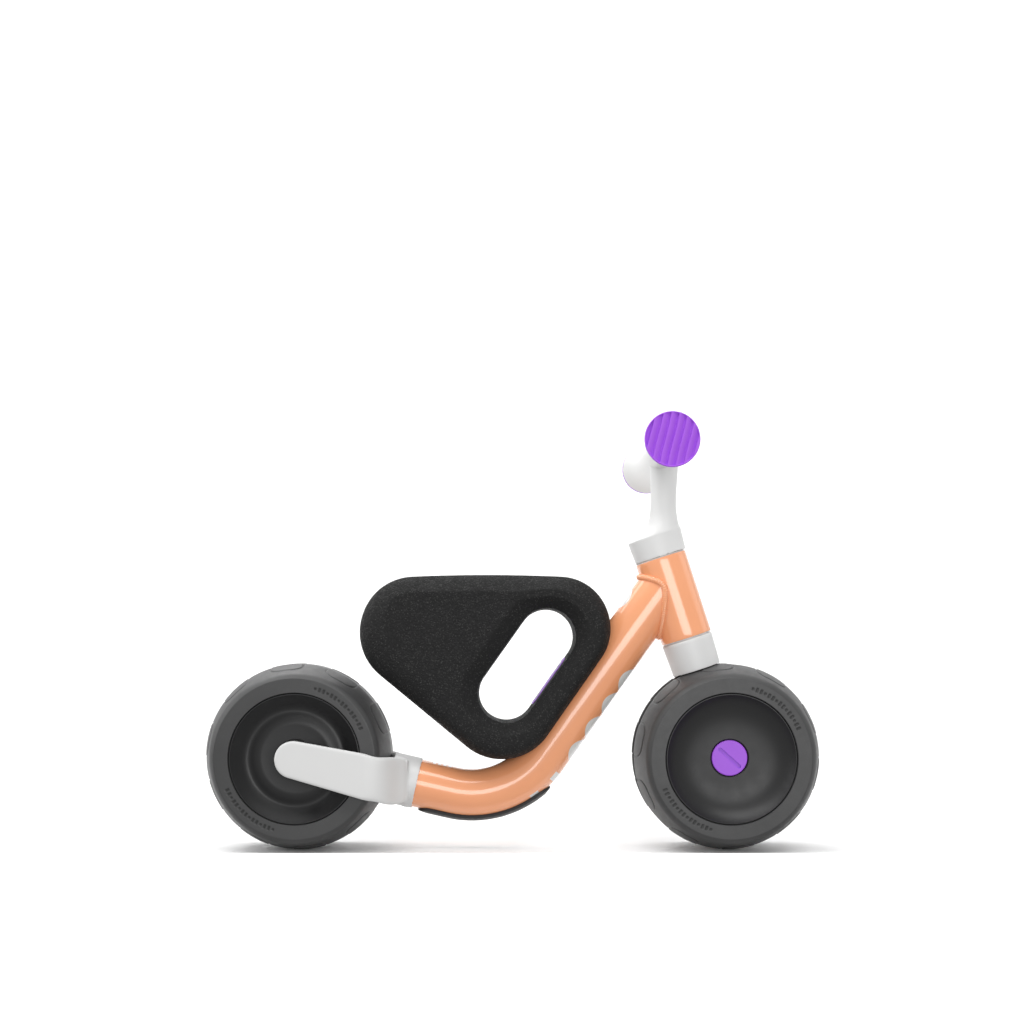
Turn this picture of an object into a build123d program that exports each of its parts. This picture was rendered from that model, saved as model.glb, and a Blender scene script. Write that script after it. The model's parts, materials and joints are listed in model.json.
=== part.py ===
from build123d import *
import os
from math import asin, cos, degrees, radians, sin, tan

# Toddler balance bike. Millimetres, +X forward, +Y to the rider's left, +Z up.
# The origin is on the ground, half way between the axles, on the middle plane.

# Wheels
wheelbase = 438.0
wheel_radius = 95.0
tyre_width = 104.0
shoulder_drop = 14.2
sidewall_width = 14.6
contact_half_width = 14.0
crown_drop = 8.6
edge_width = 6.5
wheel_slot_half_width = 9.0
dish_edge_width = 2.0
dish_edge_inset = 1.0
dish_depth = 16.0
web_wall = 3.0
tyre_seat_gap = 0.05
rim_depth = 12.0
barrel_wall = 5.0
slot_edge_radius = 2.0

# Front axle set
front_axle_radius = 4.0
front_bearing_radius = 11.0
front_bearing_width = 7.0
front_washer_length = 3.4
front_washer_radius = 6.5
bearing_spacing = 2.5
cap_radius = 18.1
cap_face_depth = 16.6
cap_gap = 0.8
cap_slot_length = 29.5
cap_slot_width = 4.0
cap_slot_depth = 2.0
cap_slot_angle = 42.0
cap_edge_radius = 1.2
cap_wall = 3.0

# Rear axle set
rear_axle_radius = 5.0
rear_bearing_radius = 13.0
rear_bearing_width = 8.0
rear_barrel_end = 34.0
boss_radius = 14.0
boss_end = 38.5
hub_recess_gap = 5.0
rear_spacer_radius = 8.0
axle_cover = 4.0

# Frame tube
tube_radius = 25.0
tube_wall = 2.0
tube_top_radius = 25.2
bend_corner_z = 45.2
joint_drop = 24.0
rear_run_slope = 12.7
down_tube_slope = 54.7
bend_radius = 89.5
weld_width = 5.5
weld_end_margin = 3.0

# Steering
head_tilt = 18.0
head_radius = 26.0
head_wall = 2.5
head_length = 86.3
crown_length = 33.5
crown_overlap = 2.0
crown_tyre_gap = 1.0
crown_bottom_radius = 24.5
steerer_radius = 12.5
steerer_wall = 2.5
bush_length = 14.0
bush_flange = 1.2
bush_flange_radius = 25.2
crown_floor = 11.0
strut_thickness = 14.0
strut_axle_radius = 15.0
strut_top_radius = 17.0
steering_range = 40.0
stop_radius = 2.5
stop_circle_radius = 18.5
stop_rise = 6.0
stop_depth = 8.0
fork_pin_radius = 3.0
fork_pin_inset = 1.5
strut_overlap = 10.0
crown_inset = 0.15

# Handlebar
collar_height = 25.2
column_radius = 13.3
column_lead = 11.3
bar_set_back = 5.4
bar_z = 404.6
bar_width = 270.0
bar_radius = 14.0
grip_end_radius = 26.5
cap_thickness = 4.0
cap_plug_radius = 10.0
cap_plug_length = 14.0
quill_length = 30.0
stem_socket_depth = 16.0
stem_bolt_radius = 3.0
stem_bolt_inset = 4.0
shoulder_height = 68.0
shoulder_flare = 3.2
shoulder_set_back = 2.2
shoulder_lean = 0.16
column_straight = 48.0
grip_flare_length = 75.0
cap_rim_radius = 1.0

# Seat
seat_half_width = 46.0
seat_rear_corner = (-96.0, 176.8, 56.5)
seat_front_corner = (50.0, 180.6, 52.7)
seat_low_corner = (-7.9, 104.2, 56.5)
slot_low_end = (-3.2, 114.5)
slot_length = 70.7
slot_radius = 27.8
seat_edge = 13.0
plate_thickness = 3.0
plate_half_width = 20.0
plate_length = 58.0
plate_corner_radius = 6.0
seat_bolt_spacing = 36.0
seat_bolt_radius = 3.0
bolt_head_radius = 5.5
bolt_head_height = 3.0
insert_radius = 4.5
seat_bolt_bite = 10.0
sleeve_bite = 12.0

# Rear fork
fork_wall = 1.3
collar_overlap = 14.6
collar_tail = 18.0
arm_outer = 62.0
arm_inner = 55.0
arm_end_radius = 18.7
arm_root_radius = 24.0
arm_root_inset = 9.0
arm_front_half_width = 26.0
arm_sweep_lead = 14.0
arm_sweep_depth = 16.0
arm_knee_depth = 5.0
arm_straight_lead = 8.0
fork_tyre_gap = 2.9
tube_end_gap = 15.0
plug_length = 15.0
fork_bolt_radius = 3.0
fork_bolt_offset = 12.0
fork_bolt_wall = 1.5
fork_bolt_seat = 20.0
fork_insert_end = 20.0
fork_insert_length = 12.0
tube_screw_reach = 7.0
tube_screw_radius = 2.5
tube_screw_head = 4.5
tube_screw_length = 16.0

# Guard strip
guard_thickness = 3.3
guard_half_angle = 32.0
guard_collar_gap = 5.9
guard_bend_angle = 57.0
screw_radius = 2.0
screw_head_sink = 1.6
screw_bite = 6.0

# Clearances
fixed_gap = 0.05
running_gap = 0.05
soft_gap = 0.3
turn_gap = 0.3
bolt_gap = 0.1
head_gap = 0.3
end_play = 0.15
screw_play = 0.2
cut_over = 1.0

# Places that follow from the sizes above
shoulder_radius = wheel_radius - shoulder_drop
sidewall_bore_radius = shoulder_radius - sidewall_width
dish_edge_radius = sidewall_bore_radius - dish_edge_width
rear_axle = Vector(-wheelbase / 2, 0, wheel_radius)
front_axle = Vector(wheelbase / 2, 0, wheel_radius)
steer_up = Vector(-sin(radians(head_tilt)), 0, cos(radians(head_tilt)))
steer_forward = Vector(cos(radians(head_tilt)), 0, sin(radians(head_tilt)))
crown_bottom = wheel_radius - crown_overlap
crown_top = crown_bottom + crown_length
head_bottom = crown_top + turn_gap + bush_flange
head_top = head_bottom + head_length
collar_bottom = head_top + bush_flange + turn_gap

rear_way = Vector(-cos(radians(rear_run_slope)), 0, sin(radians(rear_run_slope)))
down_way = Vector(cos(radians(down_tube_slope)), 0, sin(radians(down_tube_slope)))
down_normal = Vector(sin(radians(down_tube_slope)), 0, -cos(radians(down_tube_slope)))
rear_normal = Vector(-sin(radians(rear_run_slope)), 0, -cos(radians(rear_run_slope)))
bend_angle = rear_run_slope + down_tube_slope
bend_tangent = bend_radius * tan(radians(bend_angle / 2))
tube_joint = front_axle + steer_up * (head_top - joint_drop)
down_length = (tube_joint.Z - bend_corner_z) / down_way.Z
bend_corner = tube_joint - down_way * down_length
bend_start = bend_corner + rear_way * bend_tangent
bend_end = bend_corner + down_way * bend_tangent
bend_centre = bend_start - rear_normal * bend_radius
across = Vector(0, 1, 0)


def steer_point(height):
    return front_axle + steer_up * height


def steer_plane(height):
    return Plane(origin=steer_point(height), x_dir=steer_forward, z_dir=steer_up)


def tube_end_reach():
    """Distance from the bend corner back to the tube's end, just ahead of the rear tyre."""
    to_axle = rear_axle - bend_corner
    along = to_axle.dot(rear_way)
    off_line = (to_axle - rear_way * along).length
    clear = wheel_radius + tube_end_gap
    return along - (clear**2 - off_line**2) ** 0.5


def rod(radius, start, direction, length):
    place = Plane(origin=start, z_dir=direction)
    return place * Cylinder(radius, length, align=(Align.CENTER, Align.CENTER, Align.MIN))


def pipe(outer, inner, start, direction, length):
    way = Vector(direction).normalized()
    bore = rod(inner, start - way * cut_over, way, length + 2 * cut_over)
    return rod(outer, start, way, length) - bore


def turned(outline, centre):
    """Turns a face drawn as (radius, Y) about the axle line through centre."""
    return revolve(Pos(*tuple(centre)) * outline, Axis(centre, across), 360)


def side_hull(circles):
    """The side-view outline that wraps some circles, given as (centre, radius)."""
    outline = Sketch() + [Pos(c.X, c.Z) * Circle(r) for c, r in circles]
    return Plane.XZ * make_hull(outline.edges())


def tube_run(radius, top_radius, start_reach, end_reach):
    """The frame tube's outline as one solid: rear run, bend and down tube."""
    rear = rod(radius, bend_start, rear_way, start_reach - bend_tangent)
    section = Plane(origin=bend_start, z_dir=rear_way) * Circle(radius)
    bend = revolve(section, Axis(bend_centre, -across), bend_angle)
    length = end_reach - bend_tangent
    cone = Plane(origin=bend_end, z_dir=down_way) * Cone(
        radius, top_radius, length, align=(Align.CENTER, Align.CENTER, Align.MIN)
    )
    return rear + bend + cone


tube_end = tube_end_reach()
fork_collar_start = tube_end - collar_overlap
guard_straight_start = fork_collar_start - guard_collar_gap
column_x = steer_point(collar_bottom + collar_height).X + column_lead
bar_centre = Vector(column_x - bar_set_back, 0, bar_z)


# ---- Frame ----

def fork_bolt_centres():
    """Where the two bolts that join the fork halves cross the middle plane, between tube and tyre."""
    way = (bend_corner + rear_way * tube_end - rear_axle).normalized()
    reach = wheel_radius + fork_tyre_gap + fork_bolt_wall + insert_radius
    turn = degrees(asin(fork_bolt_offset / reach))
    return [rear_axle + way.rotate(Axis.Y, turn * side) * reach for side in (-1, 1)]


def tube_screw_line(radius, depth):
    """From under the collar up through the tube's wall, to a depth below the collar's face."""
    centre = bend_corner + rear_way * (tube_end - tube_screw_reach)
    face = tube_radius + fork_wall
    return rod(radius, centre + rear_normal * (face - depth), rear_normal, depth)


def slot_centre(side):
    low = bend_corner + Vector(slot_low_end[0], 0, slot_low_end[1])
    return low + down_way * slot_length * side


def seat_bolt_starts():
    """Where the seat bolts' axes cross the plate's outer face."""
    wall = slot_centre(0.5) + down_normal * slot_radius
    return [wall + down_way * seat_bolt_spacing * step for step in (-0.5, 0.5)]


def tube_distance(point):
    """How far a point lies from the down tube's centre line."""
    return -(point - bend_corner).dot(down_normal)


def guard_screw_angles():
    return [guard_bend_angle * share for share in (0.1, 0.5, 0.9)]


def guard_screw_line(angle):
    """Centre-line point of the bend at an angle past its start, and the way out of the bend."""
    turn = radians(angle - rear_run_slope)
    out = Vector(sin(turn), 0, -cos(turn))
    return bend_centre + out * bend_radius, out


def frame_tube():
    outer = tube_run(tube_radius, tube_top_radius, tube_end, down_length)
    inner = tube_run(tube_radius - tube_wall, tube_top_radius - tube_wall, tube_end + cut_over, down_length)
    head_outer = rod(head_radius, steer_point(head_bottom), steer_up, head_length)
    head_inner = rod(head_radius - head_wall, steer_point(head_bottom - cut_over), steer_up,
                     head_length + 2 * cut_over)
    body = (outer + head_outer) - (inner - head_outer) - head_inner
    body -= tube_screw_line(tube_screw_head, tube_radius / 2)
    for start in seat_bolt_starts():
        reach = tube_distance(start)
        body -= rod(insert_radius + fixed_gap, start, down_normal, reach)
    for angle in guard_screw_angles():
        centre, out = guard_screw_line(angle)
        body -= rod(screw_radius + fixed_gap, centre, out, tube_radius + cut_over)
    return body


def weld_bead():
    length = head_length - 2 * weld_end_margin
    near_head = rod(head_radius + weld_width, steer_point(head_bottom + weld_end_margin), steer_up, length)
    near_tube = tube_run(tube_radius + weld_width, tube_top_radius + weld_width, tube_end, down_length)
    head = rod(head_radius, steer_point(head_bottom), steer_up, head_length)
    tube = tube_run(tube_radius, tube_top_radius, tube_end, down_length)
    bead = (near_head & near_tube) - head - tube
    return max(bead.solids(), key=lambda piece: piece.volume)


def headset_bush(seat_height, way):
    """A flanged plastic bush in one end of the head tube; way points out of the tube."""
    radius = head_radius - head_wall - fixed_gap
    seat = steer_point(seat_height)
    bush = rod(radius, seat, way * -1, bush_length) + rod(bush_flange_radius, seat, way, bush_flange)
    bore = rod(steerer_radius + running_gap, seat + way * (bush_flange + cut_over), way * -1,
               bush_length + bush_flange + 2 * cut_over)
    return bush - bore


def stop_groove():
    """Curved groove in the lower bush, as long as the steering range."""
    half = steering_range + degrees(2 * (stop_radius + turn_gap) / (2 * stop_circle_radius))
    low = head_bottom - bush_flange - cut_over
    height = cut_over + bush_flange + stop_rise + turn_gap
    width = 2 * (stop_radius + turn_gap)
    plane = Plane(origin=steer_point(low), x_dir=steer_forward, z_dir=across)
    section = plane * Pos(stop_circle_radius, -height / 2) * Rectangle(width, height)
    if (section.center() - steer_point(low)).dot(steer_up) < 0:
        section = plane * Pos(stop_circle_radius, height / 2) * Rectangle(width, height)
    axis = Axis(steer_point(0), steer_up)
    return revolve(section.rotate(axis, -half), axis, 2 * half)


def guard_shell(inner, outer):
    """A shell under the tube between two radii, kept to the guard's share of the round."""
    reach = outer * 2
    lower = Polygon(
        (0, 0),
        (reach * sin(radians(guard_half_angle)), -reach),
        (-reach * sin(radians(guard_half_angle)), -reach),
        align=None,
    )
    section = (Circle(outer) - Circle(inner)) & lower
    start = bend_start + rear_way * (guard_straight_start - bend_tangent)
    plane = Plane(origin=start, x_dir=across, z_dir=rear_way * -1)
    if plane.y_dir.dot(rear_normal) > 0:
        plane = Plane(origin=start, x_dir=across * -1, z_dir=rear_way * -1)
    straight = extrude(plane * section, guard_straight_start - bend_tangent)
    bent = Plane(origin=bend_start, x_dir=plane.x_dir, z_dir=plane.z_dir) * section
    bend = revolve(bent, Axis(bend_centre, -across), guard_bend_angle)
    return straight + bend


def belly_guard():
    guard = guard_shell(tube_radius + fixed_gap, tube_radius + guard_thickness)
    holes = []
    for angle in guard_screw_angles():
        centre, out = guard_screw_line(angle)
        head = centre + out * (tube_radius + guard_thickness - screw_head_sink)
        holes.append(rod(screw_radius + fixed_gap, centre, out, tube_radius + guard_thickness + cut_over))
        holes.append(rod(screw_radius * 2 + fixed_gap, head, out, screw_head_sink + cut_over))
    return guard - holes


def guard_screws():
    screws = []
    for angle in guard_screw_angles():
        centre, out = guard_screw_line(angle)
        head = centre + out * (tube_radius + guard_thickness - screw_head_sink)
        shank = rod(screw_radius, centre + out * (tube_radius - screw_bite), out,
                    screw_bite + guard_thickness - screw_head_sink)
        screws.append(shank + rod(screw_radius * 2, head, out, screw_head_sink - screw_play))
    return Compound(children=screws)


# ---- Seat ----

def seat_foam():
    corners = []
    for x, z, radius in (seat_rear_corner, seat_front_corner, seat_low_corner):
        corners.append((bend_corner + Vector(x, 0, z), radius))
    foam = extrude(side_hull(corners), seat_half_width, both=True)
    rims = foam.faces().filter_by(Axis.Y).edges()
    foam = fillet(rims, seat_edge)
    ends = [(slot_centre(0), slot_radius), (slot_centre(1), slot_radius)]
    foam -= extrude(side_hull(ends), seat_half_width + cut_over, both=True)
    foam -= tube_run(tube_radius + soft_gap, tube_top_radius + soft_gap, tube_end, down_length)
    foam -= plate_block(soft_gap)
    for start in seat_bolt_starts():
        foam -= rod(insert_radius + soft_gap, start, down_normal, tube_distance(start))
    return max(foam.solids(), key=lambda piece: piece.volume)


def plate_block(grow):
    """The plate's space in the slot's lower front wall; its face is flush with the wall."""
    centre = slot_centre(0.5) + down_normal * (slot_radius + (plate_thickness - grow) / 2)
    place = Plane(origin=centre, x_dir=down_way, z_dir=down_normal)
    depth = plate_thickness + grow * 2
    return place * Box(plate_length + 2 * grow, 2 * (plate_half_width + grow), depth + grow)


def seat_plate():
    centre = slot_centre(0.5) + down_normal * (slot_radius + plate_thickness / 2)
    place = Plane(origin=centre, x_dir=down_way, z_dir=down_normal)
    plate = place * Box(plate_length, 2 * plate_half_width, plate_thickness)
    plate = fillet(plate.edges().filter_by(lambda e: abs((e % 0.5).dot(down_normal)) > 0.99),
                   plate_corner_radius)
    for start in seat_bolt_starts():
        back = start - down_normal * cut_over
        plate -= rod(seat_bolt_radius + fixed_gap, back, down_normal, plate_thickness + 2 * cut_over)
    return plate


def seat_bolts():
    bolts = []
    for start in seat_bolt_starts():
        reach = tube_distance(start) - tube_radius + seat_bolt_bite
        bolts.append(rod(seat_bolt_radius, start, down_normal, reach)
                     + rod(bolt_head_radius, start - down_normal * bolt_head_height, down_normal,
                           bolt_head_height))
    return Compound(children=bolts)


def seat_inserts():
    """Threaded sleeves from the plate's back to inside the tube; they stop the foam crushing."""
    sleeves = []
    for start in seat_bolt_starts():
        seat = start + down_normal * (plate_thickness + fixed_gap)
        reach = tube_distance(start) - tube_radius + sleeve_bite - plate_thickness
        sleeves.append(pipe(insert_radius, seat_bolt_radius + fixed_gap, seat, down_normal, reach))
    return Compound(children=sleeves)


# ---- Rear fork and wheel ----

def tube_plug():
    radius = tube_radius - tube_wall - fixed_gap
    start = bend_corner + rear_way * (tube_end - plug_length)
    hole = tube_screw_line(tube_screw_radius + fixed_gap, tube_screw_length + plug_length)
    return rod(radius, start, rear_way, plug_length) - hole


def tube_screw():
    """Countersunk screw that holds the collar and the tube to the plug."""
    shank = tube_screw_line(tube_screw_radius, tube_screw_length)
    head = tube_screw_line(tube_screw_head - screw_play, fork_wall + tube_wall)
    return shank + head


def rear_fork_half():
    """Left half of the white fork: half a collar on the tube and one arm beside the wheel."""
    collar_radius = tube_radius + fork_wall
    end = tube_end + collar_tail
    collar = rod(collar_radius, bend_corner + rear_way * fork_collar_start, rear_way,
                 end - fork_collar_start)
    root = bend_corner + rear_way * (end - arm_root_inset)
    side = extrude(side_hull([(rear_axle, arm_end_radius), (root, arm_root_radius)]), arm_outer, both=True)
    front = (bend_corner + rear_way * fork_collar_start).X - arm_root_inset
    tail = rear_axle.X - arm_end_radius - cut_over
    crown = rear_axle.X + wheel_radius
    shoulder = rear_axle.X + shoulder_radius
    plan = Polygon(
        (front, 0),
        (front, arm_front_half_width),
        (crown + arm_sweep_lead, arm_outer - arm_sweep_depth),
        (crown, arm_outer - arm_knee_depth),
        (shoulder - arm_straight_lead, arm_outer),
        (tail, arm_outer),
        (tail, arm_inner),
        (shoulder, arm_inner),
        (crown - arm_knee_depth, arm_inner - arm_straight_lead),
        (crown, 0),
        align=None,
    )
    arm = side & extrude(plan, 3 * wheel_radius)
    boss = rod(boss_radius, rear_axle + across * boss_end, across, arm_inner - boss_end + cut_over)
    tyre_space = rod(wheel_radius + fork_tyre_gap, rear_axle - across * boss_end, across, 2 * boss_end)
    half = (collar - tyre_space) + (arm - tyre_space) + boss
    half -= rod(tube_radius + fixed_gap, bend_corner, rear_way, tube_end + fixed_gap)
    half -= rod(rear_axle_radius + fixed_gap, rear_axle, across, arm_outer - axle_cover)
    half &= Pos(0, wheelbase, wheel_radius) * Box(4 * wheelbase, 2 * wheelbase, 4 * wheel_radius)
    return max(half.solids(), key=lambda piece: piece.volume)


def rear_fork_left():
    half = rear_fork_half() - tube_screw_line(tube_screw_head, tube_radius / 2)
    for centre in fork_bolt_centres():
        half -= rod(fork_bolt_radius + bolt_gap, centre - across, across, fork_bolt_seat + 2 * cut_over)
        half -= rod(bolt_head_radius + head_gap, centre + across * fork_bolt_seat, across, arm_outer)
    return half


def rear_fork_right():
    half = mirror(rear_fork_half(), about=Plane.XZ)
    half -= tube_screw_line(tube_screw_head, tube_radius / 2)
    for centre in fork_bolt_centres():
        half -= rod(insert_radius + fixed_gap, centre + across, across * -1,
                    fork_insert_end + cut_over)
    return half


def fork_bolts():
    bolts = []
    reach = fork_insert_end - cut_over
    for centre in fork_bolt_centres():
        shank = rod(fork_bolt_radius, centre - across * reach, across, reach + fork_bolt_seat)
        bolts.append(shank + rod(bolt_head_radius, centre + across * fork_bolt_seat, across,
                                 bolt_head_height))
    return Compound(children=bolts)


def fork_inserts():
    sleeves = []
    for centre in fork_bolt_centres():
        start = centre - across * (fork_insert_end - fork_insert_length)
        sleeves.append(pipe(insert_radius, fork_bolt_radius + fixed_gap, start, across * -1,
                            fork_insert_length))
    return Compound(children=sleeves)


def tyre(inner_edge):
    """Left part of a foam tyre, from inner_edge out to the sidewall, as (radius, Y) outline."""
    half = tyre_width / 2
    corner = (wheel_radius - crown_drop, half - edge_width)
    middle = (wheel_radius - crown_drop * 0.42, (contact_half_width + half - edge_width) / 2)
    bulge = (shoulder_radius + (corner[0] - shoulder_radius) * 0.65, half - edge_width * 0.4)
    crown = ThreePointArc((wheel_radius, contact_half_width), middle, corner)
    crown += ThreePointArc(corner, bulge, (shoulder_radius, half))
    if inner_edge > 0:
        rest = Polyline(
            (wheel_radius, contact_half_width),
            (wheel_radius, inner_edge + slot_edge_radius),
            (wheel_radius - slot_edge_radius, inner_edge),
            (sidewall_bore_radius, inner_edge),
            (sidewall_bore_radius, half),
            (shoulder_radius, half),
        )
    else:
        rest = Polyline(
            (wheel_radius, contact_half_width),
            (wheel_radius, 0),
            (sidewall_bore_radius, 0),
            (sidewall_bore_radius, half),
            (shoulder_radius, half),
        )
    return make_face(crown + rest)


def hub_face(inner_edge, barrel_start, barrel_end, bearing_radius, recess_radius):
    """Left half of a hub: rim, dished web and bearing barrel, as (radius, Y) outline."""
    half = tyre_width / 2
    rim = sidewall_bore_radius - tyre_seat_gap
    face = half - dish_edge_inset
    floor = half - dish_depth
    barrel = bearing_radius + barrel_wall
    span = dish_edge_radius - recess_radius
    dish = Spline(
        (dish_edge_radius, face),
        (dish_edge_radius - span * 0.265, face - dish_depth * 0.5),
        (dish_edge_radius - span * 0.575, floor + dish_depth * 0.1),
        (recess_radius, floor),
        tangents=[(-1, -1), (-1, 0)],
    )
    rest = Polyline(
        (recess_radius, floor),
        (recess_radius, barrel_end),
        (bearing_radius, barrel_end),
        (bearing_radius, barrel_start),
        (barrel, barrel_start),
        (barrel, min(barrel_end - barrel_wall, floor - 2 * web_wall)),
        (recess_radius + web_wall, floor - web_wall),
        (recess_radius + web_wall + span * 0.32, floor - web_wall),
        (dish_edge_radius - span * 0.18, face - rim_depth),
        (rim - web_wall, face - rim_depth),
        (rim - web_wall, inner_edge),
        (rim, inner_edge),
        (rim, face - dish_edge_inset),
        (dish_edge_radius + dish_edge_inset, face),
        (dish_edge_radius, face),
    )
    return make_face(dish + rest)


def bearing(centre, start, width, outer, bore):
    return pipe(outer - fixed_gap, bore + running_gap, centre + across * start, across, width)


def front_bearing_starts():
    first = strut_thickness / 2 + front_washer_length + end_play
    return first, first + front_bearing_width + bearing_spacing


def front_barrel_end():
    return front_bearing_starts()[1] + front_bearing_width


def front_hub():
    inner = wheel_slot_half_width + dish_edge_inset / 2
    return turned(
        hub_face(inner, front_bearing_starts()[0], front_barrel_end(), front_bearing_radius,
                 cap_radius + cap_gap),
        front_axle,
    )


def front_bearings():
    rings = []
    for start in front_bearing_starts():
        rings.append(bearing(front_axle, start, front_bearing_width, front_bearing_radius,
                             front_axle_radius))
    return Compound(children=rings)


def front_axle_bar():
    reach = tyre_width / 2 - cap_face_depth - cap_wall
    return rod(front_axle_radius, front_axle - across * reach, across, 2 * reach)


def front_washer():
    start = front_axle + across * (strut_thickness / 2)
    return pipe(front_washer_radius, front_axle_radius + fixed_gap, start, across, front_washer_length)


def axle_cap():
    face = tyre_width / 2 - cap_face_depth
    back = front_barrel_end() + turn_gap
    cap = rod(cap_radius, front_axle + across * back, across, face - back)
    rim = cap.edges().filter_by(GeomType.CIRCLE).sort_by(Axis.Y)[-1]
    cap = fillet(rim, cap_edge_radius)
    cap -= rod(front_axle_radius + fixed_gap, front_axle, across, face - cap_wall + fixed_gap)
    slot = Plane(origin=front_axle + across * face, x_dir=(1, 0, 0), z_dir=(0, -1, 0))
    groove = slot * Rot(0, 0, cap_slot_angle) * SlotOverall(cap_slot_length, cap_slot_width)
    return cap - extrude(groove, cap_slot_depth, both=True)


def rear_tyre():
    half = turned(tyre(0.0), rear_axle)
    return half + mirror(half, about=Plane.XZ)


def rear_bearing_start():
    return rear_barrel_end - rear_bearing_width


def rear_hub():
    outline = hub_face(0.0, rear_bearing_start(), rear_barrel_end, rear_bearing_radius,
                       boss_radius + hub_recess_gap)
    return turned(outline, rear_axle)


def rear_bearing():
    return bearing(rear_axle, rear_bearing_start(), rear_bearing_width, rear_bearing_radius,
                   rear_axle_radius)


def rear_axle_bar():
    reach = arm_outer - axle_cover - screw_play
    return rod(rear_axle_radius, rear_axle - across * reach, across, 2 * reach)


def rear_spacer():
    start = rear_axle + across * (rear_barrel_end + end_play)
    length = boss_end - rear_barrel_end - end_play - fixed_gap
    return pipe(rear_spacer_radius, rear_axle_radius + fixed_gap, start, across, length)


# ---- Steering ----

def crown_recess():
    """The tyre's space under the crown, which hangs a little over the tread on both sides."""
    half = turned(Pos(crown_tyre_gap, 0) * tyre(0.0), front_axle)
    return half + mirror(half, about=Plane.XZ)


def fork():
    crown = steer_plane(crown_bottom) * Cone(
        crown_bottom_radius, head_radius - crown_inset, crown_length,
        align=(Align.CENTER, Align.CENTER, Align.MIN),
    )
    top = steer_point(crown_bottom + strut_overlap)
    strut = extrude(side_hull([(front_axle, strut_axle_radius), (top, strut_top_radius)]),
                    strut_thickness / 2, both=True)
    body = (crown - crown_recess()) + strut
    body -= rod(steerer_radius + fixed_gap, steer_point(crown_bottom + crown_floor), steer_up, crown_length)
    body -= rod(front_axle_radius + fixed_gap, front_axle - across * strut_thickness, across,
                2 * strut_thickness)
    body -= fork_pin(fixed_gap)
    body -= rod(stop_radius + fixed_gap, stop_place(crown_top - stop_depth), steer_up,
                stop_depth + cut_over)
    return body


def stop_place(height):
    return steer_point(height) + steer_forward * stop_circle_radius


def steering_stop():
    length = stop_depth - fixed_gap + turn_gap + bush_flange + stop_rise - turn_gap
    return rod(stop_radius, stop_place(crown_top - stop_depth + fixed_gap), steer_up, length)


def fork_pin(grow=0.0):
    half = crown_bottom_radius - fork_pin_inset
    centre = steer_point(crown_bottom + crown_length / 2)
    return rod(fork_pin_radius + grow, centre - steer_forward * half, steer_forward, 2 * half + grow)


def steerer_tube():
    start = crown_bottom + crown_floor + fixed_gap
    length = collar_bottom + stem_socket_depth - fixed_gap - start
    tube = pipe(steerer_radius, steerer_radius - steerer_wall, steer_point(start), steer_up, length)
    return tube - fork_pin(fixed_gap) - stem_bolt_line(screw_play)


def stem_bolt_line(grow):
    """The stem bolt's shank, from the collar's rear face forward through the steerer."""
    height = collar_bottom + stem_socket_depth / 2
    half = head_radius - stem_bolt_inset
    return rod(stem_bolt_radius + grow, steer_point(height) - steer_forward * half, steer_forward, 2 * half)


def stem_bolt():
    height = collar_bottom + stem_socket_depth / 2
    start = steer_point(height) - steer_forward * (head_radius - stem_bolt_inset)
    head = rod(bolt_head_radius - head_gap, start, steer_forward * -1, bolt_head_height)
    return stem_bolt_line(0.0) + head


def handlebar():
    collar = rod(head_radius, steer_point(collar_bottom), steer_up, collar_height)
    lean = Plane(origin=(column_x - shoulder_set_back, 0, bar_z - shoulder_height),
                 x_dir=(1, 0, shoulder_lean), z_dir=(-shoulder_lean, 0, 1))
    column_start = Vector(column_x, 0, bar_z - column_straight)
    shoulder = loft([
        steer_plane(collar_bottom + collar_height - cut_over) * Circle(head_radius - cut_over),
        lean * Circle(column_radius + shoulder_flare),
        Plane(origin=column_start) * Circle(column_radius),
    ])
    column = rod(column_radius, column_start, Vector(0, 0, 1), column_straight)
    end = bar_width / 2 - cap_thickness
    flare = grip_end_radius - bar_radius
    grip = Spline(
        (bar_radius, 0),
        (bar_radius, end - grip_flare_length),
        (bar_radius + flare * 0.1, end - grip_flare_length * 0.53),
        (bar_radius + flare * 0.44, end - grip_flare_length * 0.16),
        (grip_end_radius, end),
        tangents=[(0, 1), (1, 0.9)],
    )
    half = make_face(grip + Polyline((grip_end_radius, end), (0, end), (0, 0), (bar_radius, 0)))
    left = turned(half, bar_centre)
    body = collar + shoulder + column + left + mirror(left, about=Plane.XZ)
    socket = rod(steerer_radius + fixed_gap, steer_point(collar_bottom - cut_over), steer_up,
                 stem_socket_depth + cut_over)
    quill_radius = steerer_radius - steerer_wall - fixed_gap
    quill = rod(quill_radius, steer_point(collar_bottom - quill_length), steer_up,
                quill_length + stem_socket_depth + cut_over)
    body = (body - socket) + quill
    body -= stem_bolt_line(bolt_gap)
    height = collar_bottom + stem_socket_depth / 2
    body -= rod(bolt_head_radius, steer_point(height) - steer_forward * (head_radius - stem_bolt_inset),
                steer_forward * -1, stem_bolt_inset + bolt_head_height)
    for side in (-1, 1):
        start = bar_centre + across * side * (end + cut_over)
        body -= rod(cap_plug_radius + fixed_gap, start, across * -side, cap_plug_length + 2 * cut_over)
    return body


def grip_cap():
    end = bar_width / 2 - cap_thickness
    disc = rod(grip_end_radius, bar_centre + across * end, across, cap_thickness)
    disc = fillet(disc.edges().filter_by(GeomType.CIRCLE).sort_by(Axis.Y)[-1], cap_rim_radius)
    plug = rod(cap_plug_radius, bar_centre + across * (end - cap_plug_length), across,
               cap_plug_length + cut_over)
    return disc + plug


# ---- Every piece in its own file ----

os.makedirs("parts", exist_ok=True)

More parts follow.
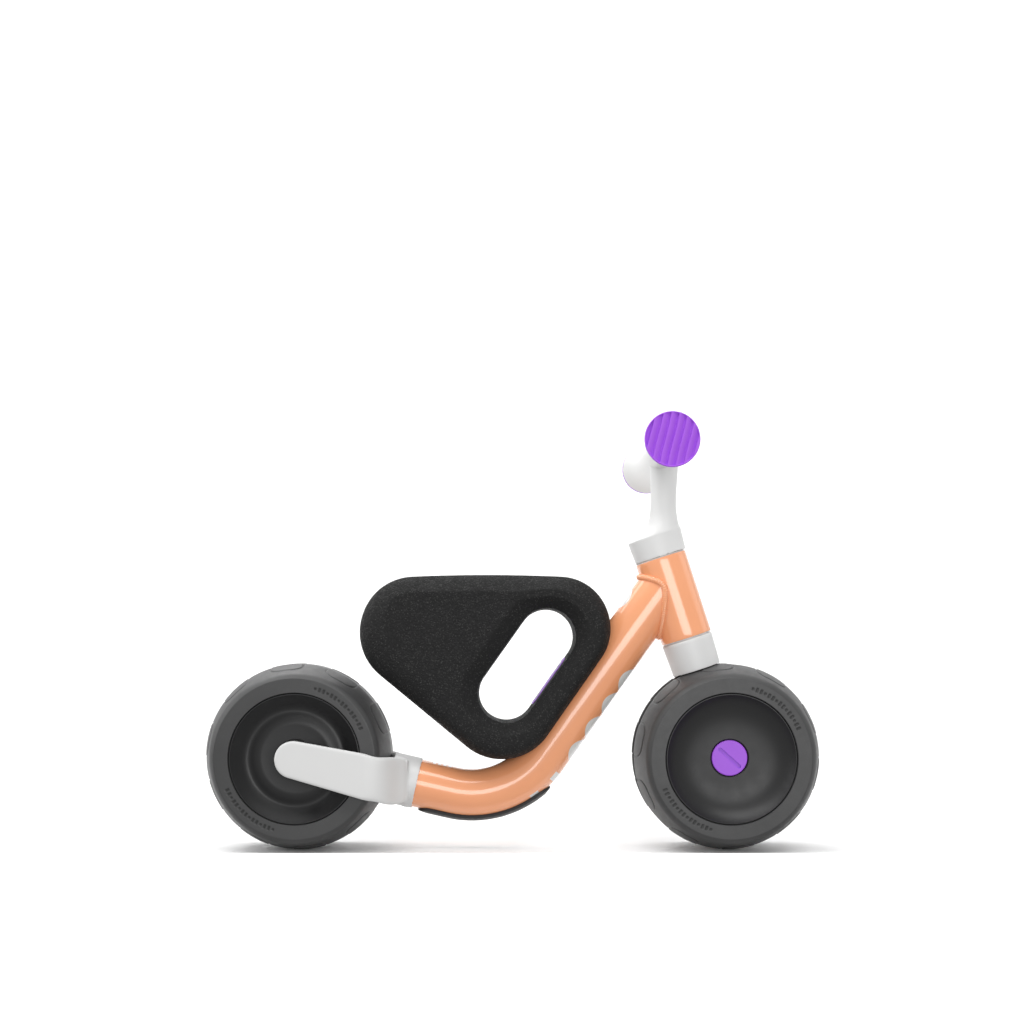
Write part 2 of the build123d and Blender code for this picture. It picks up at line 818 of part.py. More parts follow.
pieces = {
    "frame": frame_tube(),
    "weld_bead": weld_bead(),
    "headset_bush_lower": headset_bush(head_bottom, steer_up * -1) - stop_groove(),
    "headset_bush_upper": headset_bush(head_top, steer_up),
    "belly_guard": belly_guard(),
    "guard_screws": guard_screws(),
    "seat": seat_foam(),
    "seat_plate": seat_plate(),
    "seat_bolts": seat_bolts(),
    "seat_sleeves": seat_inserts(),
    "tube_plug": tube_plug(),
    "tube_screw": tube_screw(),
    "rear_fork_left": rear_fork_left(),
    "rear_fork_right": rear_fork_right(),
    "rear_fork_bolts": fork_bolts(),
    "rear_fork_inserts": fork_inserts(),
    "rear_tyre": rear_tyre(),
    "rear_axle": rear_axle_bar(),
    "fork": fork(),
    "fork_pin": fork_pin(),
    "steerer_tube": steerer_tube(),
    "steering_stop": steering_stop(),
    "handlebar": handlebar(),
    "stem_bolt": stem_bolt(),
    "front_axle": front_axle_bar(),
}
paired_pieces = {
    "rear_spacer": (rear_spacer(), rear_axle),
    "rear_hub": (rear_hub(), rear_axle),
    "rear_bearing": (rear_bearing(), rear_axle),
    "front_tyre": (turned(tyre(wheel_slot_half_width), front_axle), front_axle),
    "front_hub": (front_hub(), front_axle),
    "front_bearings": (front_bearings(), front_axle),
    "front_washer": (front_washer(), front_axle),
    "axle_cap": (axle_cap(), front_axle),
    "grip_cap": (grip_cap(), bar_centre),
}
for name, (left, centre) in paired_pieces.items():
    pieces[name + "_left"] = left
    pieces[name + "_right"] = left.rotate(Axis(centre, (0, 0, 1)), 180)

for name, shape in pieces.items():
    export_step(shape, f"parts/{name}.step")
    print(name, round(shape.volume / 1000, 2), "cm3")
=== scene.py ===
import json
import math

import bmesh
import bpy
from mathutils import Matrix, Vector


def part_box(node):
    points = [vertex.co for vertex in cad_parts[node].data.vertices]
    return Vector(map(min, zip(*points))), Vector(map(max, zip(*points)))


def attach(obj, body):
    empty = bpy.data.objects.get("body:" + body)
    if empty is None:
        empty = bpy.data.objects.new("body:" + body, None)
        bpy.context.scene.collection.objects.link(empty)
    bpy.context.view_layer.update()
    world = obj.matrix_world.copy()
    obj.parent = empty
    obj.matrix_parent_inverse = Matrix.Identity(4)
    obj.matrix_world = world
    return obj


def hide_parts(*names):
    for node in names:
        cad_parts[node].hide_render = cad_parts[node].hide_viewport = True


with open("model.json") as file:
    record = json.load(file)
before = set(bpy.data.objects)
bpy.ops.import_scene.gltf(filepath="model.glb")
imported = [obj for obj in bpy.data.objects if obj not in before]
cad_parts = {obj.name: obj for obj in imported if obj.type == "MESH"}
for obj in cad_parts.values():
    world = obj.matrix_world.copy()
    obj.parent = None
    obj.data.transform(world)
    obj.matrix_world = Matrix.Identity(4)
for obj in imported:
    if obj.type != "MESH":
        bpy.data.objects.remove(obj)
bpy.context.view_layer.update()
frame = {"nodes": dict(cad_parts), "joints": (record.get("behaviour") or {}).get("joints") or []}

mm = 0.001
across = Vector((0, 1, 0))  # towards the rider's left


class Value:
    # a socket that takes part in plain arithmetic
    def __init__(self, finish, socket):
        self.finish = finish
        self.socket = socket

    def maths(self, operation, other=None, flipped=False):
        pair = (other, self) if flipped else (self, other)
        inputs = {i: v for i, v in enumerate(pair) if v is not None}
        return self.finish.add("ShaderNodeMath", {"operation": operation}, inputs)

    def __add__(self, other):
        return self.maths("ADD", other)

    def __sub__(self, other):
        return self.maths("SUBTRACT", other)

    def __rsub__(self, other):
        return self.maths("SUBTRACT", other, True)

    def __mul__(self, other):
        return self.maths("MULTIPLY", other)

    def __truediv__(self, other):
        return self.maths("DIVIDE", other)

    def __pow__(self, other):
        return self.maths("POWER", other)

    def __gt__(self, other):
        return self.maths("GREATER_THAN", other)

    def __lt__(self, other):
        return self.maths("LESS_THAN", other)

    def __abs__(self):
        return self.maths("ABSOLUTE")

    __radd__ = __add__
    __rmul__ = __mul__

    def clamped(self):
        return self.maths("MAXIMUM", 0.0).maths("MINIMUM", 1.0)

    def rise(self, low, high):
        # 0 below low, 1 above high
        return ((self - low) / (high - low)).clamped()


class Finish:
    # one material, its shader and the nodes that feed it
    def __init__(self, name, **fixed):
        self.material = bpy.data.materials.new(name)
        self.material.use_nodes = True
        self.tree = self.material.node_tree
        self.shader = self.tree.nodes["Principled BSDF"]
        self.place = self.add("ShaderNodeTexCoord", out="Object")
        for socket, value in fixed.items():
            self.shader.inputs[socket.replace("_", " ")].default_value = value

    def add(self, kind, settings=None, inputs=None, out=0):
        node = self.tree.nodes.new(kind)
        for key, value in (settings or {}).items():
            setattr(node, key, value)
        for key, value in (inputs or {}).items():
            if isinstance(value, Value):
                self.tree.links.new(value.socket, node.inputs[key])
            else:
                node.inputs[key].default_value = value
        return Value(self, node.outputs[out])

    def noise(self, scale, detail):
        inputs = {"Vector": self.place, "Scale": scale, "Detail": detail}
        return self.add("ShaderNodeTexNoise", None, inputs)

    def cells(self, scale, feature="F1", out="Distance"):
        inputs = {"Vector": self.place, "Scale": scale}
        return self.add("ShaderNodeTexVoronoi", {"feature": feature}, inputs, out)

    def mix(self, amount, first, second):
        settings = {"data_type": "RGBA"}
        return self.add("ShaderNodeMix", settings, {0: amount, 6: first, 7: second}, 2)

    def feed(self, socket, value):
        self.tree.links.new(value.socket, self.shader.inputs[socket])

    def bump(self, height, depth, strength):
        # depth in metres
        inputs = {"Height": height, "Distance": depth, "Strength": strength}
        self.feed("Normal", self.add("ShaderNodeBump", None, inputs))

def looseMesh(name, points, faces):
    # points in millimetres
    mesh = bpy.data.meshes.new(name)
    mesh.from_pydata([tuple(Vector(p) * mm) for p in points], [], faces)
    piece = bpy.data.objects.new(name, mesh)
    bpy.context.scene.collection.objects.link(piece)
    return piece

def makePiece(name, points, faces, finish, body, nodes, smoothAngle):
    piece = looseMesh(name, points, faces)
    finishPiece(piece, finish, body, nodes, smoothAngle)
    return piece

def finishPiece(piece, finish, body, nodes, smoothAngle):
    piece.data.materials.clear()
    piece.data.materials.append(finish.material)
    smoothShade(piece.data, smoothAngle)
    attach(piece, body)
    if nodes:
        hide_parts(*nodes)


def smoothShade(mesh, angle):
    mesh.polygons.foreach_set("use_smooth", [True] * len(mesh.polygons))
    mesh.set_sharp_from_angle(angle=math.radians(angle))


def gridFaces(rows, columns, closeRows, closeColumns, flip=False):
    faces = []
    for i in range(rows if closeRows else rows - 1):
        for j in range(columns if closeColumns else columns - 1):
            a = i * columns + j
            b = i * columns + (j + 1) % columns
            c = (i + 1) % rows * columns + (j + 1) % columns
            d = (i + 1) % rows * columns + j
            faces.append((a, d, c, b) if flip else (a, b, c, d))
    return faces


def smoothStep(value, low, high):
    share = min(1.0, max(0.0, (value - low) / (high - low)))
    return share * share * (3 - 2 * share)


def turnedPoints(profile, centre, segments, shape=None, axis=across, zero=None):
    # profile holds (radius, distance along axis); shape may move a point by (radius, along, angle)
    first = zero or Vector((1, 0, 0))
    second = axis.cross(first)
    points = []
    for k in range(segments):
        angle = 2 * math.pi * k / segments
        out = first * math.cos(angle) + second * math.sin(angle)
        for radius, along in profile:
            if shape:
                radius, along = shape(radius, along, angle)
            points.append(centre + out * radius + axis * along)
    return points


def settle(piece):
    # keeps what the modifiers make as the piece's own mesh
    graph = bpy.context.evaluated_depsgraph_get()
    graph.update()
    mesh = bpy.data.meshes.new_from_object(piece.evaluated_get(graph))
    piece.modifiers.clear()
    piece.data = mesh

def evenOut(piece, voxel, rounds):
    # one closed skin over what overlaps, with its edges eased
    union = piece.modifiers.new("union", "REMESH")
    union.mode = "VOXEL"
    union.voxel_size = voxel * mm
    soften = piece.modifiers.new("soften", "SMOOTH")
    soften.factor = 0.5
    soften.iterations = rounds
    settle(piece)


def looseCopy(name, node):
    source = frame["nodes"][node]
    piece = bpy.data.objects.new(name, source.data.copy())
    bpy.context.scene.collection.objects.link(piece)
    return piece


def middleOf(node):
    low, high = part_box(node)
    return (Vector(low) + Vector(high)) / 2 / mm


steerJoint = next(j for j in frame["joints"] if j["name"] == "steering")
steerUp = Vector(steerJoint["axis"]).normalized()
steerForward = across.cross(steerUp)
rearAxle = middleOf("rear_tyre")
frontAxle = Vector(steerJoint["pos_m"]) / mm


def orangePaint(name, withDecals):
    paint = Finish(name, Roughness=0.24, Coat_Weight=1.0, Coat_Roughness=0.03)
    cloud = paint.noise(9.0, 2.0)
    colour = paint.mix(cloud.rise(0.35, 0.65), (0.9, 0.37, 0.175, 1), (0.94, 0.395, 0.19, 1))
    peel = paint.noise(420.0, 1.0) * 0.6 + paint.noise(1700.0, 1.0) * 0.4
    if withDecals:
        decal = decalMask(paint)
        colour = paint.mix(decal, colour, (0.8, 0.79, 0.77, 1))
        peel = peel + decal * 1.6
    paint.feed("Base Color", colour)
    paint.bump(peel, 0.00003, 0.5)
    return paint


decalSizes = {"ovalStart": 0.168, "ovalPitch": 0.0295, "ovals": 4, "ovalHalfLength": 0.0148,
              "ovalHalfTurn": 0.86,
              "barStart": 0.116, "barPitch": 0.0225, "bars": 2, "barHalfLength": 0.0042, "barHalfTurn": 0.72,
              "topOval": 0.339, "topHalfLength": 0.013, "topHalfTurn": 0.55,
              "dashStart": 0.024, "dashPitch": 0.0055, "dashes": 4, "dashHalfLength": 0.00165,
              "dashHalfTurn": 0.3, "softLength": 0.0002, "softTurn": 0.01}


def decalMask(paint):
    # a row of ovals and two bars under the down tube, an oval above it, small dashes behind the seat
    size = decalSizes
    uv = paint.add("ShaderNodeUVMap", {"uv_map": "run"})
    along = paint.add("ShaderNodeSeparateXYZ", None, {0: uv}, "X")
    fromTop = abs(paint.add("ShaderNodeSeparateXYZ", None, {0: uv}, "Y"))
    fromBottom = math.pi - fromTop

    def row(start, pitch, count):
        # distance along the tube from the nearest shape's middle, and 1 inside the row
        step = (along - start) / pitch
        inside = (step > 0.0) * (step < float(count))
        return (step.maths("FRACT") - 0.5) * pitch, inside

    def oval(offset, turn, halfLength, halfTurn):
        span = (offset / halfLength) ** 2 + (turn / halfTurn) ** 2
        return 1 - span.rise(0.94, 1.0)

    def bar(offset, turn, halfLength, halfTurn):
        within = 1 - abs(offset).rise(halfLength - size["softLength"], halfLength)
        return within * (1 - turn.rise(halfTurn - size["softTurn"], halfTurn))

    offset, inside = row(size["ovalStart"], size["ovalPitch"], size["ovals"])
    mask = oval(offset, fromBottom, size["ovalHalfLength"], size["ovalHalfTurn"]) * inside
    offset, inside = row(size["barStart"], size["barPitch"], size["bars"])
    mask += bar(offset, fromBottom, size["barHalfLength"], size["barHalfTurn"]) * inside
    mask += oval(along - size["topOval"], fromTop, size["topHalfLength"], size["topHalfTurn"])
    offset, inside = row(size["dashStart"], size["dashPitch"], size["dashes"])
    mask += bar(offset, fromTop, size["dashHalfLength"], size["dashHalfTurn"]) * inside
    return mask.clamped()


def plainPlastic(name, colour, roughness, grain, shift=0.93):
    plastic = Finish(name, Roughness=roughness)
    cloud = plastic.noise(14.0, 3.0)
    darker = tuple(c * shift for c in colour) + (1,)
    plastic.feed("Base Color", plastic.mix(cloud.rise(0.3, 0.7), darker, tuple(colour) + (1,)))
    rough = plastic.noise(60.0, 2.0) * 0.1 + (roughness - 0.05)
    plastic.feed("Roughness", rough)
    texture = plastic.noise(1500.0, 2.0) * 0.7 + plastic.cells(900.0) * 0.3
    plastic.bump(texture, grain, 0.6)
    return plastic


def tyreRubber():
    rubber = Finish("tyreFoam", Roughness=0.45)
    marks = rubber.add("ShaderNodeAttribute", {"attribute_name": "mark"}, None, "Fac")
    cloud = rubber.noise(22.0, 4.0)
    base = rubber.mix(cloud.rise(0.3, 0.7), (0.04, 0.04, 0.0405, 1), (0.05, 0.05, 0.0505, 1))
    speck = rubber.noise(900.0, 2.0).rise(0.62, 0.78)
    base = rubber.mix(speck * 0.35, base, (0.09, 0.09, 0.09, 1))
    # the sunk strokes are painted darker than the rubber round them: painted shade in the recesses
    rubber.feed("Base Color", rubber.mix(marks, base, (0.012, 0.012, 0.012, 1)))
    rubber.feed("Roughness", rubber.noise(150.0, 2.0) * 0.16 + 0.38)
    rubber.bump(rubber.noise(1300.0, 3.0) * 0.7 + rubber.cells(700.0) * 0.5, 0.00007, 0.7)
    return rubber


def hubPlastic():
    plastic = Finish("hubPlastic", Roughness=0.42)
    cloud = plastic.noise(18.0, 3.0)
    plastic.feed("Base Color", plastic.mix(cloud, (0.008, 0.008, 0.0085, 1), (0.013, 0.013, 0.0135, 1)))
    plastic.feed("Roughness", plastic.noise(90.0, 2.0) * 0.12 + 0.36)
    plastic.bump(plastic.noise(1800.0, 2.0), 0.00005, 0.6)
    return plastic


def beadFoam():
    # moulded bead foam: flat-sided beads pressed together, with pale specks
    foam = Finish("beadFoam", Roughness=0.8, Specular_IOR_Level=0.3)
    beads = foam.cells(330.0, "DISTANCE_TO_EDGE")
    shade = foam.add("ShaderNodeSeparateColor", None, {0: foam.cells(330.0, "F1", "Color")})
    base = foam.mix(shade, (0.007, 0.007, 0.007, 1), (0.012, 0.012, 0.012, 1))
    seams = 1 - beads.rise(0.0, 0.09)
    base = foam.mix(seams * 0.6, base, (0.004, 0.004, 0.004, 1))
    chance = foam.add("ShaderNodeSeparateColor", None, {0: foam.cells(900.0, "F1", "Color")}, 1)
    dot = 1 - foam.cells(900.0).rise(0.3, 0.6)
    specks = chance.rise(0.86, 0.9) * dot
    foam.feed("Base Color", foam.mix(specks * 0.2, base, (0.2, 0.2, 0.19, 1)))
    foam.feed("Roughness", shade * 0.25 + 0.6)
    foam.bump(beads.rise(0.0, 0.25) + foam.noise(2500.0, 2.0) * 0.3, 0.0004, 0.85)
    return foam


def metal(name, colour, roughness, lines=900.0):
    steel = Finish(name, Roughness=roughness, Metallic=1.0)
    stretch = steel.add("ShaderNodeVectorMath", {"operation": "MULTIPLY"}, {0: steel.place, 1: (1, 0.06, 1)})
    brush = steel.add("ShaderNodeTexNoise", None, {"Vector": stretch, "Scale": lines, "Detail": 2.0})
    dark = tuple(c * 0.8 for c in colour) + (1,)
    steel.feed("Base Color", steel.mix(brush, dark, tuple(colour) + (1,)))
    steel.feed("Roughness", brush * 0.15 + (roughness - 0.07))
    steel.bump(brush, 0.00003, 0.5)
    return steel


orange = orangePaint("orangePaint", False)
orangeDecal = orangePaint("orangePaintDecals", True)
white = plainPlastic("whitePlastic", (0.69, 0.69, 0.685), 0.42, 0.00004, 0.97)
violet = plainPlastic("violetPlastic", (0.37, 0.092, 0.74), 0.45, 0.00004)
violetGrip = plainPlastic("violetRubber", (0.37, 0.092, 0.74), 0.52, 0.00008)
guardBlack = plainPlastic("guardRubber", (0.02, 0.02, 0.021), 0.5, 0.00012)
nylonBlack = plainPlastic("blackNylon", (0.025, 0.025, 0.026), 0.5, 0.00006)
tyreFoam = tyreRubber()
hubBlack = hubPlastic()
seatFoam = beadFoam()
steel = metal("brushedSteel", (0.5, 0.5, 0.51), 0.32)
bearingSteel = metal("bearingSteel", (0.66, 0.66, 0.67), 0.18, 400.0)
brass = metal("brass", (0.62, 0.42, 0.16), 0.3)
print("finishes made")


tyreSizes = {"radius": 95.0, "shoulder": 80.8, "bore": 66.25, "halfWidth": 52.0, "flat": 14.0,
             "drop": 8.6, "edge": 6.5, "lugRise": 0.35, "grooveHalf": 1.1,
             "grooveDepth": 0.8, "lugs": 10, "lugTurn": 20.5, "firstLug": 25.0,
             "lugOuter": 35.5, "lugInner": 5.0, "lugCorner": 12.0, "markRadius": 73.4,
             "markStarts": (23.0, 203.0), "markSpan": 52.0, "marks": 15, "markDepth": 0.5}


def crownRadius(y):
    # the tyre's outer radius at a distance from the middle plane: flat, arched, then falling to the side wall
    size = tyreSizes
    y = abs(y)
    arch = size["halfWidth"] - size["edge"]
    if y <= size["flat"]:
        return size["radius"]
    if y <= arch:
        share = (y - size["flat"]) / (arch - size["flat"])
        return size["radius"] - size["drop"] * (0.68 * share + 0.32 * share**2)
    low = size["radius"] - size["drop"]
    share = min(1.0, (y - arch) / size["edge"])
    return low + (size["shoulder"] - low) * (0.42 * share + 0.58 * share**2)


def lugDrop(y, angle):
    # depth below the tread pads: each pad is a rounded block with a thin groove round it
    size = tyreSizes
    pitch = 2 * math.pi / size["lugs"]
    turn = (angle - math.radians(size["firstLug"]) + pitch / 2) % pitch - pitch / 2
    middle = (size["lugOuter"] + size["lugInner"]) / 2
    dx = abs(turn) * size["radius"] - math.radians(size["lugTurn"]) / 2 * size["radius"] + size["lugCorner"]
    dy = abs(abs(y) - middle) - (size["lugOuter"] - size["lugInner"]) / 2 + size["lugCorner"]
    outside = math.hypot(max(dx, 0), max(dy, 0)) + min(max(dx, dy), 0) - size["lugCorner"]
    groove = max(0.0, 1 - abs(outside - 0.5) / size["grooveHalf"])
    return size["lugRise"] * smoothStep(outside, -0.5, 0.5) + size["grooveDepth"] * groove


def markMask(radius, angle):
    # plain sunk strokes round the side wall, in two runs; every third one is short
    size = tyreSizes
    best = 0.0
    step = size["markSpan"] / size["marks"]
    for start in size["markStarts"]:
        turn = (math.degrees(angle) - start) % 360
        if turn > size["markSpan"]:
            continue
        index = int(turn / step)
        half = 0.6 if index % 3 == 2 else 1.6
        along = abs(turn - (index + 0.5) * step) * math.pi / 180 * radius
        outside = math.hypot(max(along - 0.6, 0), max(abs(radius - size["markRadius"]) - half, 0)) - 0.55
        best = max(best, 1 - smoothStep(outside, -0.3, 0.4))
    return best


def tyreProfile(inner):
    # from the bore round the side wall and crown and back, as (radius, distance from the middle)
    size = tyreSizes
    half = size["halfWidth"]
    profile = [(size["bore"], inner), (size["bore"], (inner + half) / 2), (size["bore"], half - 0.6),
               (size["bore"] + 0.5, half)]
    ring = size["shoulder"] - size["bore"] - 2.0
    profile += [(size["bore"] + 1.0 + ring * k / 24, half) for k in range(25)]
    steps = 10
    for k in range(steps + 1):
        y = half - size["edge"] * (1 - math.cos(math.pi / 2 * k / steps))
        profile.append((crownRadius(y), y))
    arch = half - size["edge"]
    stop = inner + 2.0 if inner > 0 else 0.0
    count = int((arch - stop) / 0.7)
    profile += [(crownRadius(y), y) for y in (arch - (arch - stop) * (k + 1) / count for k in range(count))]
    if inner > 0:
        for k in range(1, 5):
            turn = math.pi / 2 * k / 4
            profile.append((size["radius"] - 2 + 2 * math.cos(turn), inner + 2 - 2 * math.sin(turn)))
    return profile


def makeTyre(name, centre, side, inner, body, node):
    size = tyreSizes
    segments = 900
    profile = tyreProfile(inner)
    if inner == 0:
        profile = profile + [(r, -y) for r, y in reversed(profile[1:-1])]
    marks = []

    def shape(radius, y, angle):
        wall = abs(abs(y) - size["halfWidth"]) < 1e-6
        mark = markMask(radius, -angle) if wall and radius > size["bore"] + 1.5 else 0.0
        marks.append(mark)
        if wall:
            return radius, y - math.copysign(mark * size["markDepth"], y)
        if radius > size["shoulder"]:
            fall = lugDrop(y, -angle) * smoothStep(size["halfWidth"] - abs(y), 1.0, 7.0)
            return radius - fall, y
        return radius, y

    flipped = [(r, y * side) for r, y in profile]
    points = turnedPoints(flipped, centre, segments, shape)
    faces = gridFaces(segments, len(flipped), True, True, flip=side > 0)
    piece = makePiece(name, points, faces, tyreFoam, body, [node], 40)
    layer = piece.data.attributes.new("mark", "FLOAT", "POINT")
    layer.data.foreach_set("value", marks)
    return piece


makeTyre("rearTyre", rearAxle, -1, 0.0, "rear_wheel", "rear_tyre")
makeTyre("frontTyreRight", frontAxle, -1, 9.0, "front_wheel_right", "front_tyre_right")
makeTyre("frontTyreLeft", frontAxle, 1, 9.0, "front_wheel_left", "front_tyre_left")
print("tyres made")

hubSizes = {"rim": 66.1, "lip": 64.4, "face": 51.0, "floor": 36.0, "wall": 3.0,
            "frontRecess": 18.9, "frontBarrel": 27.0, "frontBearing": 11.0,
            "rearRecess": 19.0, "rearBarrel": 34.0, "rearBearing": 13.0,
            "domeRadius": 34.0, "domeRise": 4.5, "valley": 50.0}


def dishDepth(radius, dome):
    # how far out the dish's surface lies at a radius
    size = hubSizes
    share = min(1.0, max(0.0, radius / size["lip"]))
    bowl = size["floor"] + (size["face"] - size["floor"]) * share**5.2
    if dome:
        ring = smoothStep(size["valley"] - radius, 0.0, size["valley"] - size["domeRadius"])
        dip = math.exp(-((radius - size["valley"]) / 7.0) ** 2)
        bowl += size["domeRise"] * ring - 2.4 * dip
    return bowl


def makeHub(name, centre, side, inner, dome, body, node):
    size = hubSizes
    recess = size["rearRecess"] if dome else size["frontRecess"]
    barrel = size["rearBarrel"] if dome else size["frontBarrel"]
    bearing = size["rearBearing"] if dome else size["frontBearing"]
    seat = barrel - (8.0 if dome else 16.6)
    steps = 60
    dish = []
    for k in range(steps + 1):
        radius = size["lip"] + (recess + 0.8 - size["lip"]) * k / steps
        dish.append((radius, dishDepth(radius, dome)))
    edge = dishDepth(recess + 0.8, dome)
    back = edge - size["wall"] - 2.0
    profile = [(size["rim"] - 0.1, size["face"] - 0.9), (size["rim"] - 0.9, size["face"] - 0.1),
               (size["lip"] + 0.5, size["face"])]
    profile += dish
    profile += [(recess, edge - 0.8), (recess, barrel), (bearing, barrel), (bearing, seat),
                (bearing + 5, seat), (bearing + 5, barrel - 4), (recess + 3, back),
                (36.0, back), (56.0, size["face"] - 13), (size["rim"] - 3, size["face"] - 13),
                (size["rim"] - 3, inner), (size["rim"], inner), (size["rim"], size["face"] - 3)]
    flipped = [(r, y * side) for r, y in profile]
    points = turnedPoints(flipped, centre, 256)
    faces = gridFaces(256, len(flipped), True, True, flip=side > 0)
    return makePiece(name, points, faces, hubBlack, body, [node], 30)


makeHub("rearHubRight", rearAxle, -1, 0.05, True, "rear_wheel", "rear_hub_right")
makeHub("rearHubLeft", rearAxle, 1, 0.05, True, "rear_wheel", "rear_hub_left")
makeHub("frontHubRight", frontAxle, -1, 9.5, False, "front_wheel_right", "front_hub_right")
makeHub("frontHubLeft", frontAxle, 1, 9.5, False, "front_wheel_left", "front_hub_left")
print("hubs made")


tubeSizes = {"radius": 25.0, "topRadius": 25.2, "wall": 2.0, "corner": Vector((-3.2, 0, 45.2)),
             "rearSlope": 12.7, "downSlope": 54.7, "bendRadius": 89.5, "rearReach": 111.5,
             "headRadius": 26.6, "headBite": 0.6, "headWall": 2.5, "headLength": 86.3, "headStart": 128.0}
rearSlope = math.radians(tubeSizes["rearSlope"])
downSlope = math.radians(tubeSizes["downSlope"])
rearWay = Vector((-math.cos(rearSlope), 0, math.sin(rearSlope)))
downWay = Vector((math.cos(downSlope), 0, math.sin(downSlope)))
downHigh = across.cross(downWay) * -1
bendTurn = rearSlope + downSlope
bendTangent = tubeSizes["bendRadius"] * math.tan(bendTurn / 2)
bendStart = tubeSizes["corner"] + rearWay * bendTangent
bendEnd = tubeSizes["corner"] + downWay * bendTangent
bendLength = tubeSizes["bendRadius"] * bendTurn
rearLength = tubeSizes["rearReach"] - bendTangent


def headReach():
    # from the bend corner along the down tube to the steering axis
    reach = frontAxle - tubeSizes["corner"]
    turn = steerUp.x * downWay.z - steerUp.z * downWay.x
    return (reach.z * steerUp.x - reach.x * steerUp.z) / turn


downLength = headReach() - bendTangent


def tubeFrame(run):
    # centre point and way up at a distance along the tube from its rear end
    rearHigh = across.cross(rearWay)
    if run <= rearLength:
        return bendStart + rearWay * (rearLength - run), rearHigh
    if run <= rearLength + bendLength:
        radius = tubeSizes["bendRadius"]
        high = Matrix.Rotation((rearLength - run) / radius, 3, "Y") @ rearHigh
        return bendStart + (rearHigh - high) * radius, high
    return bendEnd + downWay * (run - rearLength - bendLength), downHigh

def headHit(start, way, radius):
    # how far along way from start the head tube's wall is met
    toAxis = start - frontAxle
    a = way - steerUp * way.dot(steerUp)
    b = toAxis - steerUp * toAxis.dot(steerUp)
    half = a.dot(b)
    spare = max(0.0, half * half - a.dot(a) * (b.dot(b) - radius * radius))
    return (-half - math.sqrt(spare)) / a.dot(a)


def makeFrameTube():
    size = tubeSizes
    segments, bentSteps, downSteps = 128, 110, 110
    turns = [math.pi - 2 * math.pi * j / segments for j in range(segments + 1)]
    bentLength = rearLength + bendLength
    layers = []
    for inset in (0, size["wall"]):
        layer = []
        for k in range(bentSteps):
            run = bentLength * k / bentSteps
            centre, high = tubeFrame(run)
            reach = size["radius"] - inset
            layer.append([(centre + (high * math.cos(t) + across * math.sin(t)) * reach, run, t)
                          for t in turns])
        for k in range(downSteps + 1):
            share = k / downSteps
            ring = []
            for t in turns:
                out = downHigh * math.cos(t) + across * math.sin(t)
                low = bendEnd + out * (size["radius"] - inset)
                top = bendEnd + downWay * downLength + out * (size["topRadius"] - inset)
                way = (top - low).normalized()
                reach = headHit(low, way, size["headRadius"] - size["headBite"])
                ring.append((low + way * reach * share, bentLength + reach * share, t))
            layer.append(ring)
        layers.append(layer)
    loop = layers[0] + layers[1][::-1]
    points = [p for ring in loop for p, _, _ in ring]
    faces = gridFaces(len(loop), segments + 1, True, False)
    piece = makePiece("frameTube", points, faces, orangeDecal, "chassis", ["frame"], 50)
    runUv = piece.data.uv_layers.new(name="run")
    values = [(run * mm, t) for ring in loop for _, run, t in ring]
    for corner in piece.data.loops:
        runUv.data[corner.index].uv = values[corner.vertex_index]
    weldSeam(piece.data)
    return piece

def weldSeam(mesh):
    work = bmesh.new()
    work.from_mesh(mesh)
    bmesh.ops.remove_doubles(work, verts=work.verts, dist=0.000002)
    work.to_mesh(mesh)
    work.free()


def makeHeadTube():
    size = tubeSizes
    low = size["headStart"]
    top = low + size["headLength"]
    outer, inner = size["headRadius"], size["headRadius"] - size["headWall"]
    profile = [(inner, low + 0.3), (inner + 0.3, low), (outer - 0.5, low), (outer - 0.15, low + 0.15),
               (outer, low + 0.6)]
    profile += [(outer, low + (top - low) * k / 20) for k in range(1, 20)]
    profile += [(outer, top - 0.6), (outer - 0.15, top - 0.15), (outer - 0.5, top), (inner + 0.3, top),
                (inner, top - 0.3)]
    points = turnedPoints(profile, frontAxle, 160, None, steerUp, steerForward)
    faces = gridFaces(160, len(profile), True, True, flip=True)
    return makePiece("headTube", points, faces, orange, "chassis", [], 30)


weldSizes = {"radius": 3.0, "ripple": 0.7, "pitch": 2.2, "lift": 0.7, "tube": 25.9, "rounds": 30}


def makeWeld():
    # a rippled bead along the line where the down tube meets the head tube
    size = weldSizes
    count = 720
    path = []
    for k in range(count):
        t = 2 * math.pi * k / count
        out = downHigh * math.cos(t) + across * math.sin(t)
        start = bendEnd + out * size["tube"]
        reach = headHit(start, downWay, tubeSizes["headRadius"] + size["lift"])
        path.append(start + downWay * reach)
    for _ in range(size["rounds"]):
        path = [path[k - 1] * 0.25 + path[k] * 0.5 + path[(k + 1) % count] * 0.25 for k in range(count)]
    points = []
    run = 0.0
    sides = 20
    total = sum((path[(k + 1) % count] - path[k]).length for k in range(count))
    waves = round(total / size["pitch"])
    for k in range(count):
        way = (path[(k + 1) % count] - path[k - 1]).normalized()
        toAxis = path[k] - frontAxle
        outward = (toAxis - steerUp * toAxis.dot(steerUp)).normalized()
        outward = (outward - way * outward.dot(way)).normalized()
        side = way.cross(outward)
        wave = abs(math.sin(math.pi * waves * run / total))
        radius = size["radius"] + size["ripple"] * (wave - 0.6)
        for j in range(sides):
            turn = 2 * math.pi * j / sides
            points.append(path[k] + (outward * math.cos(turn) * 0.8 + side * math.sin(turn)) * radius)
        run += (path[(k + 1) % count] - path[k]).length
    faces = gridFaces(count, sides, True, True)
    return makePiece("weldBead", points, faces, orange, "chassis", ["weld_bead"], 180)


makeFrameTube()
makeHeadTube()
makeWeld()
print("frame made")

guardSizes = {"inner": 25.06, "outer": 28.25, "halfTurn": 32.0, "start": 20.5, "bendShare": 57.0 / 67.4,
              "endRound": 14.0, "edgeRound": 1.4}


